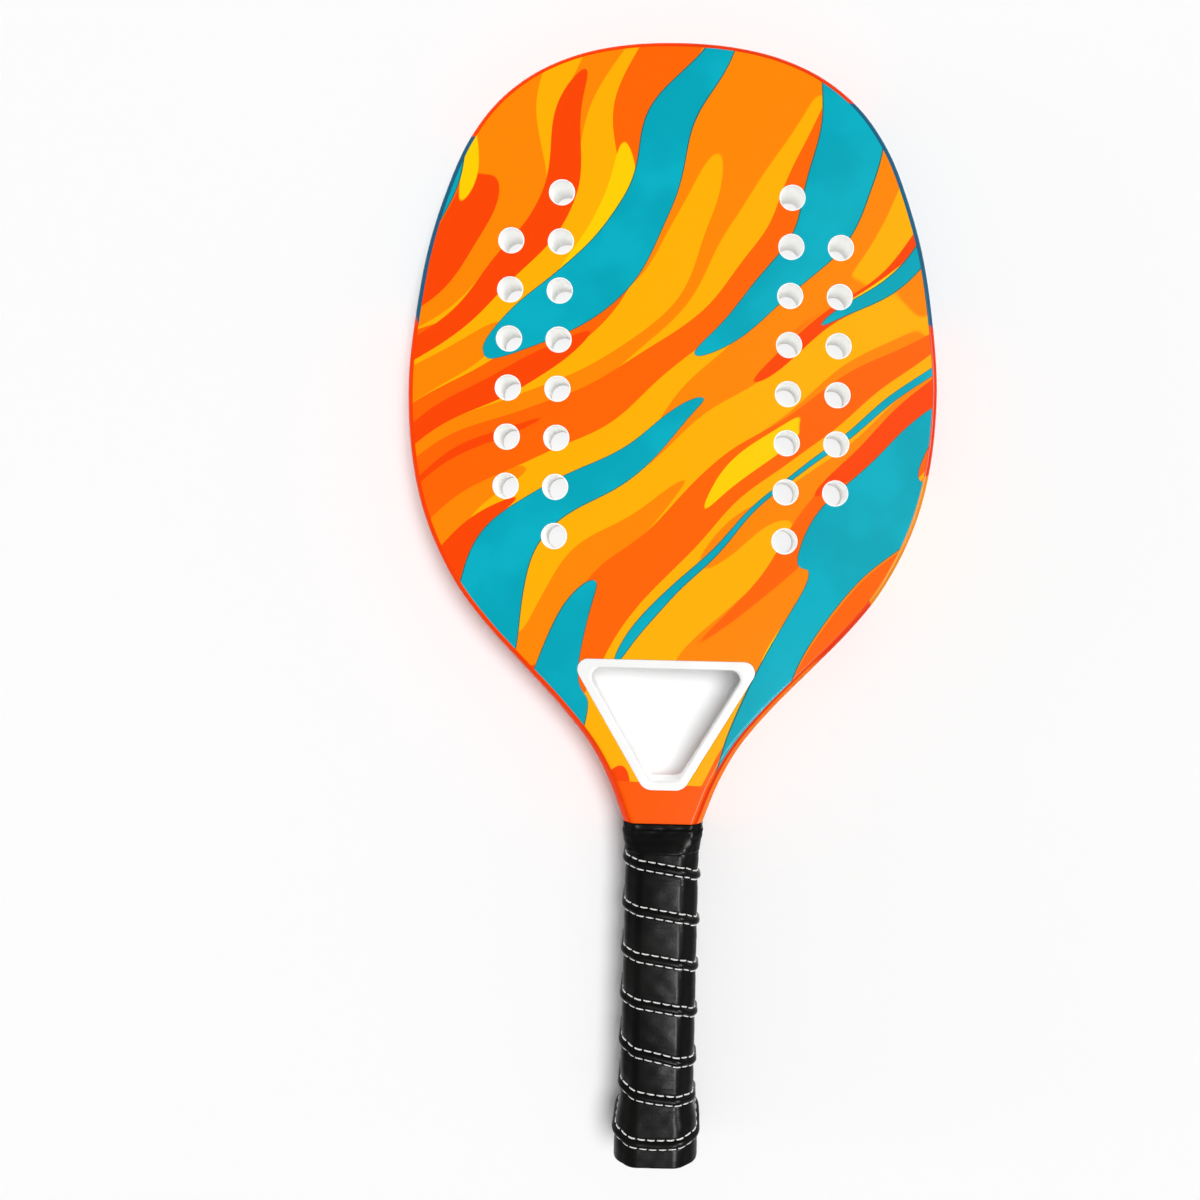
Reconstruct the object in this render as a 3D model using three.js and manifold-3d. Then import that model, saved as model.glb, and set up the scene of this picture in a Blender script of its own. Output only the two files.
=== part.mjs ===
// A beach tennis racket lying on its back, in millimetres, +Z up. The printed face looks up, the crown of
// the head points to +Y and the racket's mid-plane is level. The origin is on the ground, below the middle
// of the racket's length and width.

import * as THREE from 'three';
import { mergeVertices } from 'three/addons/utils/BufferGeometryUtils.js';
import Module from 'manifold-3d';

const wasm = await Module();
wasm.setup();

// Outline of the head and neck
const overallLength = 480;
const headHalfWidth = 113.9;
const crownHeight = 148;
const shoulderLength = 189;
const neckHalfWidth = 16.7;
const headHalfThickness = 10;

// Frame tube
const tubeWidth = 9;
const tubeWall = 1.6;
const tubeBoreHalfHeight = 6.2;
const edgeRadius = 3;
const rimWidth = 3.4;
const legHalfWidth = 12;
const legTaperLength = 19;
const legEndInset = 15;

// Face sheets and core
const sheetThickness = 1.1;
const sheetHoleDiameter = 11.4;
const coreHoleDiameter = 10.4;
const holeCentreRise = 8.2;
const holeRowPitch = 21;
const innerColumnX = 49.3;
const outerColumnX = 70.5;
const innerColumnRows = 8;
const outerColumnRows = 6;

// Throat opening, measured on the outer edge of its white lip: its levels as shares of the distance from the
// widest line down to the neck, and the frame left on either side of it
const throatTopShare = 0.6206;
const throatBottomShare = 0.9153;
const throatTopCheek = 23.9;
const throatBottomCheek = 14.4;
const throatTopRadius = 4.6;
const throatBottomRadius = 6;
const throatInnerTopRadius = 4;
const throatInnerBottomRadius = 5;
const bridgeWidth = 9;
const lipWidth = 4;
const lipOverlap = 2;
const lipChamfer = 0.9;

// Handle shells, an octagon in section, and the flared butt
const shaftHalfWidth = 14;
const shaftHalfHeight = 11.6;
const shaftCutX = 5.1;
const shaftCutZ = 4.2;
const shellWall = 1.7;
const capLength = 27.7;
const capFloor = 3;
const capBevel = 1;
const flareLength = 16;
const flareDepth = 1.8;

// Collar at the top of the grip
const collarLead = 1;
const collarLength = 13.5;
const collarLap = 1.3;
const collarThickness = 0.5;
const collarTopCut = 2;

// Wound strap and its rib
const strapThickness = 1.7;
const strapEdgeThickness = 1.1;
const strapShoulder = 1.2;
const strapShoulderShare = 1 / 3;
const strapPitch = 19.35;
const strapTurnGap = 0.6;
const strapEndInset = 1;
const strapTipWidth = 1.5;
const strapStartTurn = -0.45;
const windEase = 3;
const ribHalfWidth = 1.7;
const ribHeight = 1.1;
const ribFlat = 0.5;
const ribEndInset = 7;
const ribLevelTurn = 0.25;
const ribStartTurn = -0.1;

// Clearances and one overrun for every cut
const seatGap = 0.3;
const bondGap = 0.1;
const cutOverrun = 20;

// Counts
const sideSteps = 52;
const arcDivisions = 1000;
const holeArcSteps = 8;
const cornerSteps = 4;
const edgeSteps = 2;
const facetSteps = 3;
const facetCount = 8;
const flareSteps = 4;
const ribArcSteps = 5;

// Levels that follow from the sizes
const crownY = overallLength / 2;
const buttY = -overallLength / 2;
const widestY = crownY - crownHeight;
const neckY = widestY - shoulderLength;
const holeCentreY = widestY + holeCentreRise;
const throatTopY = widestY - shoulderLength * throatTopShare;
const throatBottomY = widestY - shoulderLength * throatBottomShare;
const legEndY = buttY + legEndInset;
const bedZ = headHalfThickness - sheetThickness - bondGap;
const bridgeTopY = throatTopY + bridgeWidth;
const collarTopY = neckY + collarLead;
const collarEndY = collarTopY - collarLength;
const shellTopY = collarEndY + collarLap;
const capTopY = buttY + capLength;
const shellEndY = capTopY + seatGap;
const strapTopY = collarEndY - seatGap;
const strapStartY = buttY + strapEndInset;
const ribStartY = buttY + ribEndInset;
const strapHalfWidth = (strapPitch - strapTurnGap) / 2;

// Half widths across the head, as shares of the head's half width, against heights as shares of the
// distance from the widest line up to the crown
const crownShares = [
  [0, 1],
  [0.198, 0.991],
  [0.376, 0.962],
  [0.544, 0.905],
  [0.687, 0.817],
  [0.795, 0.7],
  [0.861, 0.582],
  [0.931, 0.408],
  [0.972, 0.232],
  [1, 0],
];

// Half widths below the widest line, as shares of the step from the neck out to the head, against depths
// as shares of the distance from the widest line down to the neck
const shoulderShares = [
  [0.974, 0.183],
  [0.904, 0.321],
  [0.771, 0.458],
  [0.633, 0.549],
  [0.464, 0.641],
  [0.296, 0.732],
  [0.155, 0.823],
  [0.061, 0.915],
  [0, 1],
];

// The frame's drawing in from the neck to its straight legs inside the handle, as shares of that step and
// of the taper's length
const legTaperShares = [
  [0.13, 0.47],
  [0, 0.63],
  [0, 1],
];

function rightOutlinePoints() {
  const points = [];
  for (const [acrossShare, upShare] of crownShares) {
    points.push(new THREE.Vector3(headHalfWidth * acrossShare, widestY + crownHeight * upShare, 0));
  }
  const headStep = headHalfWidth - neckHalfWidth;
  for (const [acrossShare, downShare] of shoulderShares) {
    const x = neckHalfWidth + headStep * acrossShare;
    points.push(new THREE.Vector3(x, widestY - shoulderLength * downShare, 0));
  }
  const legStep = neckHalfWidth - legHalfWidth;
  for (const [acrossShare, downShare] of legTaperShares) {
    const x = legHalfWidth + legStep * acrossShare;
    points.push(new THREE.Vector3(x, neckY - legTaperLength * downShare, 0));
  }
  points.push(new THREE.Vector3(legHalfWidth, legEndY, 0));
  return points;
}

function outlineCurve() {
  const right = rightOutlinePoints();
  const left = right.slice(1).map((point) => new THREE.Vector3(-point.x, point.y, 0));
  const curve = new THREE.CatmullRomCurve3([...left.reverse(), ...right], false, 'centripetal');
  curve.arcLengthDivisions = arcDivisions;
  return curve;
}

const outline = outlineCurve();

// Points down the right side from the crown to the leg's end, moved inwards by inset
function sidePoints(inset) {
  const points = [];
  for (let step = 0; step <= sideSteps; step += 1) {
    const along = (1 + step / sideSteps) / 2;
    const point = outline.getPointAt(along);
    const tangent = outline.getTangentAt(along);
    points.push(new THREE.Vector2(point.x + tangent.y * inset, point.y - tangent.x * inset));
  }
  points[0].x = 0;
  return points;
}

function halfWidthAt(points, y) {
  const below = points.findIndex((point) => point.y <= y);
  if (below < 1) {
    return points[points.length - 1].x;
  }
  const [upper, lower] = [points[below - 1], points[below]];
  return THREE.MathUtils.mapLinear(y, upper.y, lower.y, upper.x, lower.x);
}

// The area inside the outline, moved inwards by inset, between two levels of Y
function bandShape(inset, lowY, highY = Infinity) {
  const side = sidePoints(inset);
  const right = side.filter((point) => point.y > lowY + bondGap && point.y < highY - bondGap);
  right.push(new THREE.Vector2(halfWidthAt(side, lowY), lowY));
  if (highY < side[0].y) {
    right.unshift(new THREE.Vector2(halfWidthAt(side, highY), highY));
  }
  const left = right.filter((point) => point.x > 0).map((point) => new THREE.Vector2(-point.x, point.y));
  return new THREE.Shape([...right, ...left.reverse()]);
}

function slab(shape, lowZ, highZ) {
  const options = { depth: highZ - lowZ, bevelEnabled: false, curveSegments: holeArcSteps };
  return new THREE.ExtrudeGeometry(shape, options).translate(0, 0, lowZ);
}

// Joins rings of points, each with the same count, into one closed surface. An open run gets flat ends; a
// looped run joins its last ring to its first.
function ringSolid(rings, looped = false) {
  const count = rings[0].length;
  const positions = rings.flat().flatMap((point) => [point.x, point.y, point.z]);
  const indices = [];
  const spans = looped ? rings.length : rings.length - 1;
  for (let ring = 0; ring < spans; ring += 1) {
    const next = (ring + 1) % rings.length;
    for (let place = 0; place < count; place += 1) {
      const beside = (place + 1) % count;
      const corners = [
        ring * count + place,
        ring * count + beside,
        next * count + beside,
        next * count + place,
      ];
      indices.push(corners[0], corners[1], corners[2], corners[0], corners[2], corners[3]);
    }
  }
  if (!looped) {
    const last = (rings.length - 1) * count;
    for (let place = 1; place < count - 1; place += 1) {
      indices.push(0, place + 1, place, last, last + place, last + place + 1);
    }
  }
  const geometry = new THREE.BufferGeometry();
  geometry.setAttribute('position', new THREE.Float32BufferAttribute(positions, 3));
  geometry.setIndex(signedVolume(positions, indices) < 0 ? indices.reverse() : indices);
  return geometry;
}

function signedVolume(positions, indices) {
  const corner = (index) => new THREE.Vector3().fromArray(positions, index * 3);
  let volume = 0;
  for (let first = 0; first < indices.length; first += 3) {
    const [a, b, c] = [corner(indices[first]), corner(indices[first + 1]), corner(indices[first + 2])];
    volume += a.dot(b.cross(c));
  }
  return volume;
}

function toSolid(geometry) {
  const bare = geometry.clone();
  bare.deleteAttribute('normal');
  bare.deleteAttribute('uv');
  const merged = mergeVertices(bare);
  const mesh = new wasm.Mesh({
    numProp: 3,
    vertProperties: new Float32Array(merged.attributes.position.array),
    triVerts: new Uint32Array(merged.index.array),
  });
  return new wasm.Manifold(mesh);
}

function toGeometry(solid) {
  const mesh = solid.getMesh();
  const geometry = new THREE.BufferGeometry();
  geometry.setAttribute('position', new THREE.Float32BufferAttribute(mesh.vertProperties, 3));
  geometry.setIndex([...mesh.triVerts]);
  return geometry;
}

function block(lowY, highY, lowZ, highZ) {
  const width = 2 * (headHalfWidth + cutOverrun);
  const geometry = new THREE.BoxGeometry(width, highY - lowY, highZ - lowZ);
  return toSolid(geometry.translate(0, (lowY + highY) / 2, (lowZ + highZ) / 2));
}

// Octagons across the handle: corner 0 is on the right, above the middle, and they run over the front

const cutLength = Math.hypot(shaftCutX, shaftCutZ);

// Corners of an octagon of the given half sizes and corner cuts, in a plane across the handle at y
function octagon(halfWidth, halfHeight, cutX, cutZ, y) {
  const [flatX, flatZ] = [halfWidth - cutX, halfHeight - cutZ];
  const quarter = [[halfWidth, flatZ], [flatX, halfHeight]];
  const corners = [
    ...quarter,
    ...quarter.map(([x, z]) => [-x, z]).reverse(),
    ...quarter.map(([x, z]) => [-x, -z]),
    ...quarter.map(([x, z]) => [x, -z]).reverse(),
  ];
  return corners.map(([x, z]) => new THREE.Vector3(x, y, z));
}

function flareAt(y) {
  return flareDepth * THREE.MathUtils.smoothstep(capTopY - y, 0, flareLength);
}

// The handle's own octagon at y, with every side moved out by offset
function shaftOctagon(y, offset) {
  const grow = flareAt(y) + offset;
  const cornerGrowX = (grow * (cutLength - shaftCutX)) / shaftCutZ;
  const cornerGrowZ = (grow * (cutLength - shaftCutZ)) / shaftCutX;
  const cutX = shaftCutX + grow - cornerGrowX;
  const cutZ = shaftCutZ + grow - cornerGrowZ;
  return octagon(shaftHalfWidth + grow, shaftHalfHeight + grow, cutX, cutZ, y);
}

// A length of the handle's body, following the flare at the butt
function shaftSolid(lowY, highY, offset) {
  const flareLevels = [];
  for (let step = 0; step <= flareSteps; step += 1) {
    flareLevels.push(capTopY - (flareLength * step) / flareSteps);
  }
  const inside = flareLevels.filter((y) => y > lowY + bondGap && y < highY - bondGap);
  return ringSolid([highY, ...inside, lowY].map((y) => shaftOctagon(y, offset)));
}

function straightOctagonSolid(lowY, highY, inset) {
  const rings = [highY, lowY].map((y) => {
    const level = shaftOctagon(shellTopY, -inset);
    return level.map((corner) => new THREE.Vector3(corner.x, y, corner.z));
  });
  return ringSolid(rings);
}

// Frame and faces

function frameTube() {
  const longEndY = legEndY - cutOverrun;
  const outerOptions = {
    depth: 2 * (headHalfThickness - edgeRadius),
    bevelSize: edgeRadius,
    bevelThickness: edgeRadius,
    bevelSegments: edgeSteps,
  };
  const outer = new THREE.ExtrudeGeometry(bandShape(edgeRadius, longEndY), outerOptions);
  outer.translate(0, 0, edgeRadius - headHalfThickness);
  const middle = slab(bandShape(tubeWidth, longEndY - cutOverrun), -cutOverrun, cutOverrun);
  const boreOuter = slab(bandShape(tubeWall, longEndY - cutOverrun), -tubeBoreHalfHeight, tubeBoreHalfHeight);
  const boreInner = slab(bandShape(tubeWidth - tubeWall, longEndY - cutOverrun), -cutOverrun, cutOverrun);
  const bore = toSolid(boreOuter).subtract(toSolid(boreInner));
  const bed = slab(bandShape(rimWidth, neckY), bedZ, cutOverrun);
  const rearBed = slab(bandShape(rimWidth, neckY), -cutOverrun, -bedZ);
  const shaftZone = block(longEndY - cutOverrun, shellTopY + seatGap, -cutOverrun, cutOverrun);
  const shaftRoom = straightOctagonSolid(longEndY - cutOverrun, crownY, shellWall + seatGap);
  const end = block(longEndY - cutOverrun, legEndY, -cutOverrun, cutOverrun);
  return toGeometry(
    toSolid(outer)
      .subtract(toSolid(middle))
      .subtract(bore)
      .subtract(toSolid(bed))
      .subtract(toSolid(rearBed))
      .subtract(shaftZone.subtract(toSolid(shaftRoom)))
      .subtract(end),
  );
}

function holeColumn(shape, x, rows, diameter) {
  for (let row = 0; row < rows; row += 1) {
    const y = holeCentreY + holeRowPitch * (row - (rows - 1) / 2);
    shape.holes.push(new THREE.Path().absarc(x, y, diameter / 2, 0, 2 * Math.PI));
  }
}

function addHoles(shape, diameter) {
  for (const side of [-1, 1]) {
    holeColumn(shape, side * innerColumnX, innerColumnRows, diameter);
    holeColumn(shape, side * outerColumnX, outerColumnRows, diameter);
  }
}

function faceSheet() {
  const shape = bandShape(rimWidth + bondGap, neckY + bondGap);
  addHoles(shape, sheetHoleDiameter);
  shape.holes.push(new THREE.Path(throatPoints(-bondGap, throatTopRadius, throatBottomRadius)));
  return slab(shape, bedZ + bondGap, headHalfThickness);
}

function headCore() {
  const shape = bandShape(tubeWidth + seatGap, bridgeTopY + seatGap);
  addHoles(shape, coreHoleDiameter);
  return slab(shape, -bedZ, bedZ);
}

// Throat

const throatTopHalfWidth = halfWidthAt(sidePoints(0), throatTopY) - throatTopCheek;
const throatBottomHalfWidth = halfWidthAt(sidePoints(0), throatBottomY) - throatBottomCheek;

// A rounded corner between two sides of the throat, given by the turning angles where the arc starts and
// ends
function cornerArc(centreX, centreY, radius, startAngle, endAngle) {
  const points = [];
  for (let step = 0; step <= cornerSteps; step += 1) {
    const angle = startAngle + ((endAngle - startAngle) * step) / cornerSteps;
    points.push(new THREE.Vector2(centreX + radius * Math.cos(angle), centreY + radius * Math.sin(angle)));
  }
  return points;
}

// The throat's outline, moved inwards by inset: a trapezium with round corners, counter-clockwise
function throatPoints(inset, topRadius, bottomRadius) {
  const height = throatTopY - throatBottomY;
  const lean = Math.atan2(throatTopHalfWidth - throatBottomHalfWidth, height);
  const sideX = (y) => {
    const share = (y - throatBottomY) / height;
    const line = THREE.MathUtils.lerp(throatBottomHalfWidth, throatTopHalfWidth, share);
    return line - inset / Math.cos(lean);
  };
  const bottomCentreY = throatBottomY + inset + bottomRadius;
  const bottomCentreX = sideX(bottomCentreY) - bottomRadius / Math.cos(lean);
  const topCentreY = throatTopY - inset - topRadius;
  const topCentreX = sideX(topCentreY) - topRadius / Math.cos(lean);
  const right = [
    ...cornerArc(bottomCentreX, bottomCentreY, bottomRadius, -Math.PI / 2, -lean),
    ...cornerArc(topCentreX, topCentreY, topRadius, -lean, Math.PI / 2),
  ];
  return [...right, ...right.map((point) => new THREE.Vector2(-point.x, point.y)).reverse()];
}

function throatYoke() {
  const shape = bandShape(tubeWidth + seatGap, neckY, bridgeTopY);
  shape.holes.push(new THREE.Path(throatPoints(lipOverlap - seatGap, throatTopRadius, throatBottomRadius)));
  return slab(shape, -bedZ, bedZ);
}

// Half of the white liner: a lip flush with the face and a sleeve down to the mid-plane
function throatLiner() {
  const lipZ = bedZ + bondGap;
  const profile = [
    [0, lipZ],
    [0, headHalfThickness],
    [lipWidth - lipChamfer, headHalfThickness],
    [lipWidth, headHalfThickness - lipChamfer],
    [lipWidth, seatGap / 2],
    [lipOverlap, seatGap / 2],
    [lipOverlap, lipZ],
  ];
  const rings = profile.map(([inset, z]) => {
    const inner = inset > lipOverlap;
    const topRadius = inner ? throatInnerTopRadius : throatTopRadius;
    const bottomRadius = inner ? throatInnerBottomRadius : throatBottomRadius;
    const loop = throatPoints(inset, topRadius, bottomRadius);
    return loop.map((point) => new THREE.Vector3(point.x, point.y, z));
  });
  return ringSolid(rings, true);
}

// Handle

function handleFiller() {
  const shape = bandShape(tubeWidth + seatGap, legEndY, neckY - seatGap);
  return slab(shape, -bedZ, bedZ);
}

function handleShell() {
  const outer = toSolid(shaftSolid(shellEndY, shellTopY, 0));
  const inner = toSolid(straightOctagonSolid(shellEndY - cutOverrun, shellTopY + cutOverrun, shellWall));
  const rearHalf = block(buttY, crownY, -cutOverrun, seatGap / 2);
  return toGeometry(outer.subtract(inner).subtract(rearHalf));
}

function buttCap() {
  const body = toSolid(shaftSolid(buttY + capBevel, capTopY, 0));
  const rim = shaftOctagon(buttY + capBevel, 0);
  const end = shaftOctagon(buttY, -capBevel);
  const bevel = toSolid(ringSolid([rim, end]));
  const pocket = toSolid(straightOctagonSolid(buttY + capFloor, capTopY + cutOverrun, shellWall));
  return toGeometry(body.add(bevel).subtract(pocket));
}

function gripCollar() {
  const neckRoom = halfWidthAt(sidePoints(0), collarTopY) + seatGap;
  const faceRoom = headHalfThickness + seatGap;
  const innerTop = octagon(neckRoom, faceRoom, collarTopCut, collarTopCut, collarTopY);
  const outerTop = octagon(
    neckRoom + collarThickness,
    faceRoom + collarThickness,
    collarTopCut,
    collarTopCut,
    collarTopY,
  );
  const innerEnd = shaftOctagon(collarEndY, seatGap);
  const outerEnd = shaftOctagon(collarEndY, seatGap + strapThickness + seatGap);
  return ringSolid([innerTop, outerTop, outerEnd, innerEnd], true);
}

// Winding. A turn is counted from the right side of the handle, over the front, round to the right again.

const turnSteps = facetSteps * facetCount;

// The share of a turn at a step, measured round the octagon from the middle of its right side
function turnAt(step) {
  const whole = Math.floor(step / turnSteps);
  const corners = shaftOctagon(shellTopY, 0);
  const sides = corners.map((corner, index) => corner.distanceTo(corners[(index + 1) % facetCount]));
  const girth = sides.reduce((sum, side) => sum + side, 0);
  const within = step - whole * turnSteps;
  const facet = Math.floor(within / facetSteps);
  const passed = sides.slice(0, facet).reduce((sum, side) => sum + side, 0);
  const along = (sides[facet] * (within - facet * facetSteps)) / facetSteps;
  return whole + (sides[facetCount - 1] / 2 + passed + along) / girth;
}

// A height that starts level and eases into climbing one pitch a turn
function windY(turn, startY, levelTurn) {
  return startY + windEase * Math.log(1 + Math.exp((strapPitch * (turn - levelTurn)) / windEase));
}

function ribY(turn) {
  return windY(turn, ribStartY, ribLevelTurn);
}

function strapUpperY(turn) {
  const levelTurn = ribLevelTurn - (ribStartY - strapStartY + strapHalfWidth) / strapPitch;
  return Math.min(strapTopY, windY(turn, strapStartY, levelTurn));
}

function strapLowerY(turn) {
  if (turn - 1 < strapStartTurn) {
    return strapStartY;
  }
  return strapUpperY(turn - 1) + strapTurnGap;
}

// A point beside the handle at a step of the winding, at height y and moved out by offset
function woundPoint(step, y, offset) {
  const within = step - Math.floor(step / turnSteps) * turnSteps;
  const facet = Math.floor(within / facetSteps);
  const share = within / facetSteps - facet;
  const corners = shaftOctagon(y, offset);
  return corners[facet].clone().lerp(corners[(facet + 1) % facetCount], share);
}

function strapSection(step) {
  const turn = turnAt(step);
  const [low, high] = [strapLowerY(turn), strapUpperY(turn)];
  const shoulder = Math.min(strapShoulder, (high - low) * strapShoulderShare);
  return [
    woundPoint(step, low, seatGap),
    woundPoint(step, high, seatGap),
    woundPoint(step, high, seatGap + strapEdgeThickness),
    woundPoint(step, high - shoulder, seatGap + strapThickness),
    woundPoint(step, low + shoulder, seatGap + strapThickness),
    woundPoint(step, low, seatGap + strapEdgeThickness),
  ];
}

// Half an oval, flat side on the strap's outer face
function ribSection(step) {
  const turn = turnAt(step);
  const [low, high] = [strapLowerY(turn) + strapShoulder, strapUpperY(turn) - strapShoulder];
  const points = [];
  for (let place = 0; place <= ribArcSteps; place += 1) {
    const angle = (Math.PI * place) / ribArcSteps;
    const y = ribY(turn) + ribHalfWidth * Math.cos(angle);
    const offset = seatGap + strapThickness + seatGap + ribHeight * Math.sin(angle);
    const [lowPoint, highPoint] = [woundPoint(step, low, offset), woundPoint(step, high, offset)];
    points.push(lowPoint.lerp(highPoint, (y - low) / (high - low)));
  }
  return points;
}

// The sections of a winding from its first turn until it has reached its end
function windingSections(startTurn, hasEnded, section) {
  const sections = [];
  for (let step = -turnSteps; !hasEnded(turnAt(step)); step += 1) {
    if (turnAt(step) >= startTurn) {
      sections.push(section(step));
    }
  }
  return sections;
}

function strapSections() {
  const hasEnded = (turn) => strapTopY - strapLowerY(turn) < strapTipWidth;
  return windingSections(strapStartTurn, hasEnded, strapSection);
}

function ribSections() {
  const hasEnded = (turn) => ribY(turn) + ribHalfWidth > strapTopY;
  return windingSections(ribStartTurn, hasEnded, ribSection);
}

// The least distance between points of a winding that are half a turn or more apart along it
function leastGap(sections) {
  let least = Infinity;
  for (let first = 0; first < sections.length; first += 1) {
    for (let second = first + turnSteps / 2; second < sections.length; second += 1) {
      for (const point of sections[first]) {
        for (const other of sections[second]) {
          least = Math.min(least, point.distanceTo(other));
        }
      }
    }
  }
  return least;
}

function gripStrap(sections) {
  const room = toSolid(shaftSolid(buttY - cutOverrun, shellTopY, seatGap));
  return toGeometry(toSolid(ringSolid(sections)).subtract(room));
}

function gripRib(sections, floorZ) {
  const ground = block(buttY, crownY, floorZ - cutOverrun, floorZ);
  return toGeometry(toSolid(ringSolid(sections)).subtract(ground));
}

// Materials

function paint(color) {
  return new THREE.MeshStandardMaterial({ color, roughness: 0.25, metalness: 0 });
}

function foam(color) {
  return new THREE.MeshStandardMaterial({ color, roughness: 0.85, metalness: 0 });
}

function leather(color) {
  return new THREE.MeshStandardMaterial({ color, roughness: 0.55, metalness: 0 });
}

function addPart(parent, name, geometry, material) {
  const mesh = new THREE.Mesh(geometry, material);
  mesh.name = name;
  parent.add(mesh);
  return mesh;
}

// The same piece turned half a turn about the racket's long axis, for the rear
function addRearPart(parent, name, geometry, material) {
  addPart(parent, name, geometry, material).rotation.y = Math.PI;
}

// Assembly

const strapRings = strapSections();
const ribRings = ribSections();
console.log(`grip strap: least gap to itself ${leastGap(strapRings).toFixed(2)} mm`);
console.log(`grip rib: least gap to itself ${leastGap(ribRings).toFixed(2)} mm`);

const ribLowZ = Math.min(...ribRings.flat().map((point) => point.z));
const floorZ = ribLowZ + ribFlat;

const racket = new THREE.Group();
racket.position.z = -floorZ;

const head = new THREE.Group();
const sheet = faceSheet();
addPart(head, 'frame_tube', frameTube(), paint('#e8400c'));
addPart(head, 'head_core', headCore(), foam('#f2f0ea'));
addPart(head, 'front_face', sheet, paint('#ff8410'));
addRearPart(head, 'rear_face', sheet, paint('#ff8410'));
racket.add(head);

const throat = new THREE.Group();
const liner = throatLiner();
addPart(throat, 'throat_yoke', throatYoke(), paint('#e8400c'));
addPart(throat, 'throat_liner_front', liner, paint('#f7f7f5'));
addRearPart(throat, 'throat_liner_rear', liner, paint('#f7f7f5'));
racket.add(throat);

const handle = new THREE.Group();
const shell = handleShell();
addPart(handle, 'handle_filler', handleFiller(), foam('#c9c2b0'));
addPart(handle, 'handle_shell_front', shell, foam('#3a3a3a'));
addRearPart(handle, 'handle_shell_rear', shell, foam('#3a3a3a'));
addPart(handle, 'butt_cap', buttCap(), foam('#161616'));
addPart(handle, 'grip_collar', gripCollar(), leather('#141414'));
addPart(handle, 'grip_strap', gripStrap(strapRings), leather('#1b1b1b'));
addPart(handle, 'grip_rib', gripRib(ribRings, floorZ), leather('#1b1b1b'));
racket.add(handle);

export default racket;
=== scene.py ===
"""Looks of a beach tennis racket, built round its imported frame. It lies on its back with +Y to the crown."""

import math

import bmesh
import bpy
import numpy as np
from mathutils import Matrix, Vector
from mathutils.geometry import delaunay_2d_cdt


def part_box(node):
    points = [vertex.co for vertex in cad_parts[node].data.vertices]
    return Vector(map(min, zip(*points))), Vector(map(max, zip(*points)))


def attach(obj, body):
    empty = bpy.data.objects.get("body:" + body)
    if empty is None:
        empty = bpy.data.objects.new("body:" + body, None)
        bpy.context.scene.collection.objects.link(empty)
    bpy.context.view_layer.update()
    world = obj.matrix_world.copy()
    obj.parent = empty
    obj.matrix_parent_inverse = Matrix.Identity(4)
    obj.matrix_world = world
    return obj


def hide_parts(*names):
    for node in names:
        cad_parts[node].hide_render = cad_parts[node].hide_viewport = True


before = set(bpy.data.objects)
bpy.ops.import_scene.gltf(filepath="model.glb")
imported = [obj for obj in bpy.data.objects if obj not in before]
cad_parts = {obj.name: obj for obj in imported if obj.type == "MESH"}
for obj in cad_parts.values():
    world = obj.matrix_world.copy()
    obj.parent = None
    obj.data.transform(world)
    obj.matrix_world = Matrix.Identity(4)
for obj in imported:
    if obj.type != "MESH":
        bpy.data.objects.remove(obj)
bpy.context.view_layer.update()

# Lengths are in millimetres, with Z from the racket's mid-plane. Form.finish turns them into metres.
MM = 0.001
METRE = 1000
tube_low, tube_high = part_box("frame_tube")
MID_Z = (tube_low.z + tube_high.z) / 2 / MM
GROUND_Z = -MID_Z

# Outline of the head and neck
CROWN_Y = 240
WIDEST_Y = 92
NECK_Y = -97
BUTT_Y = -240
HEAD_HALF_WIDTH = 113.9
NECK_HALF_WIDTH = 16.7
LEG_HALF_WIDTH = 12
LEG_TAPER_LENGTH = 19
LEG_END_Y = -225
NECK_END_Y = -112
HALF_THICKNESS = 10
CURVE_STEPS = 60
OUTLINE_STEPS = 440
SMOOTH_PASSES = 6

# Half widths across the head, as shares of the head's half width, against heights as shares of the
# distance from the widest line up to the crown
CROWN_SHARES = (
    (0, 1),
    (0.198, 0.991),
    (0.376, 0.962),
    (0.544, 0.905),
    (0.687, 0.817),
    (0.795, 0.7),
    (0.861, 0.582),
    (0.931, 0.408),
    (0.972, 0.232),
    (1, 0),
)

# Half widths below the widest line, as shares of the step from the neck out to the head, against depths
# as shares of the distance from the widest line down to the neck
SHOULDER_SHARES = (
    (0.974, 0.183),
    (0.904, 0.321),
    (0.771, 0.458),
    (0.633, 0.549),
    (0.464, 0.641),
    (0.296, 0.732),
    (0.155, 0.823),
    (0.061, 0.915),
    (0, 1),
)

# The frame's drawing in from the neck to its legs, as shares of that step and of the taper's length
LEG_TAPER_SHARES = ((0.13, 0.47), (0, 0.63), (0, 1))

# Rounding between the faces and the side: slim on the head, a broad bevel on the neck. The guard is a flat
# strip that keeps the faces' shading even, and points away from the edge are given the inner inset.
HEAD_EDGE_WIDTH = 2.5
HEAD_EDGE_DEPTH = 2.8
HEAD_EDGE_POWER = 2.2
NECK_EDGE_WIDTH = 4.4
NECK_EDGE_DEPTH = 4.2
NECK_EDGE_POWER = 1.35
EDGE_CHANGE_HIGH_Y = 0
EDGE_CHANGE_LOW_Y = -85
SIDE_CROWN = 0.35
EDGE_STEPS = 9
GUARD = 0.6
INNER_INSET = 10.0

# Legs of the frame inside the handle
TUBE_WIDTH = 9
LEG_PLAY = 0.3
LEG_BEVEL = 2.6
LEG_HALF_HEIGHT = 8.6
SEAT_GAP = 0.3

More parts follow.
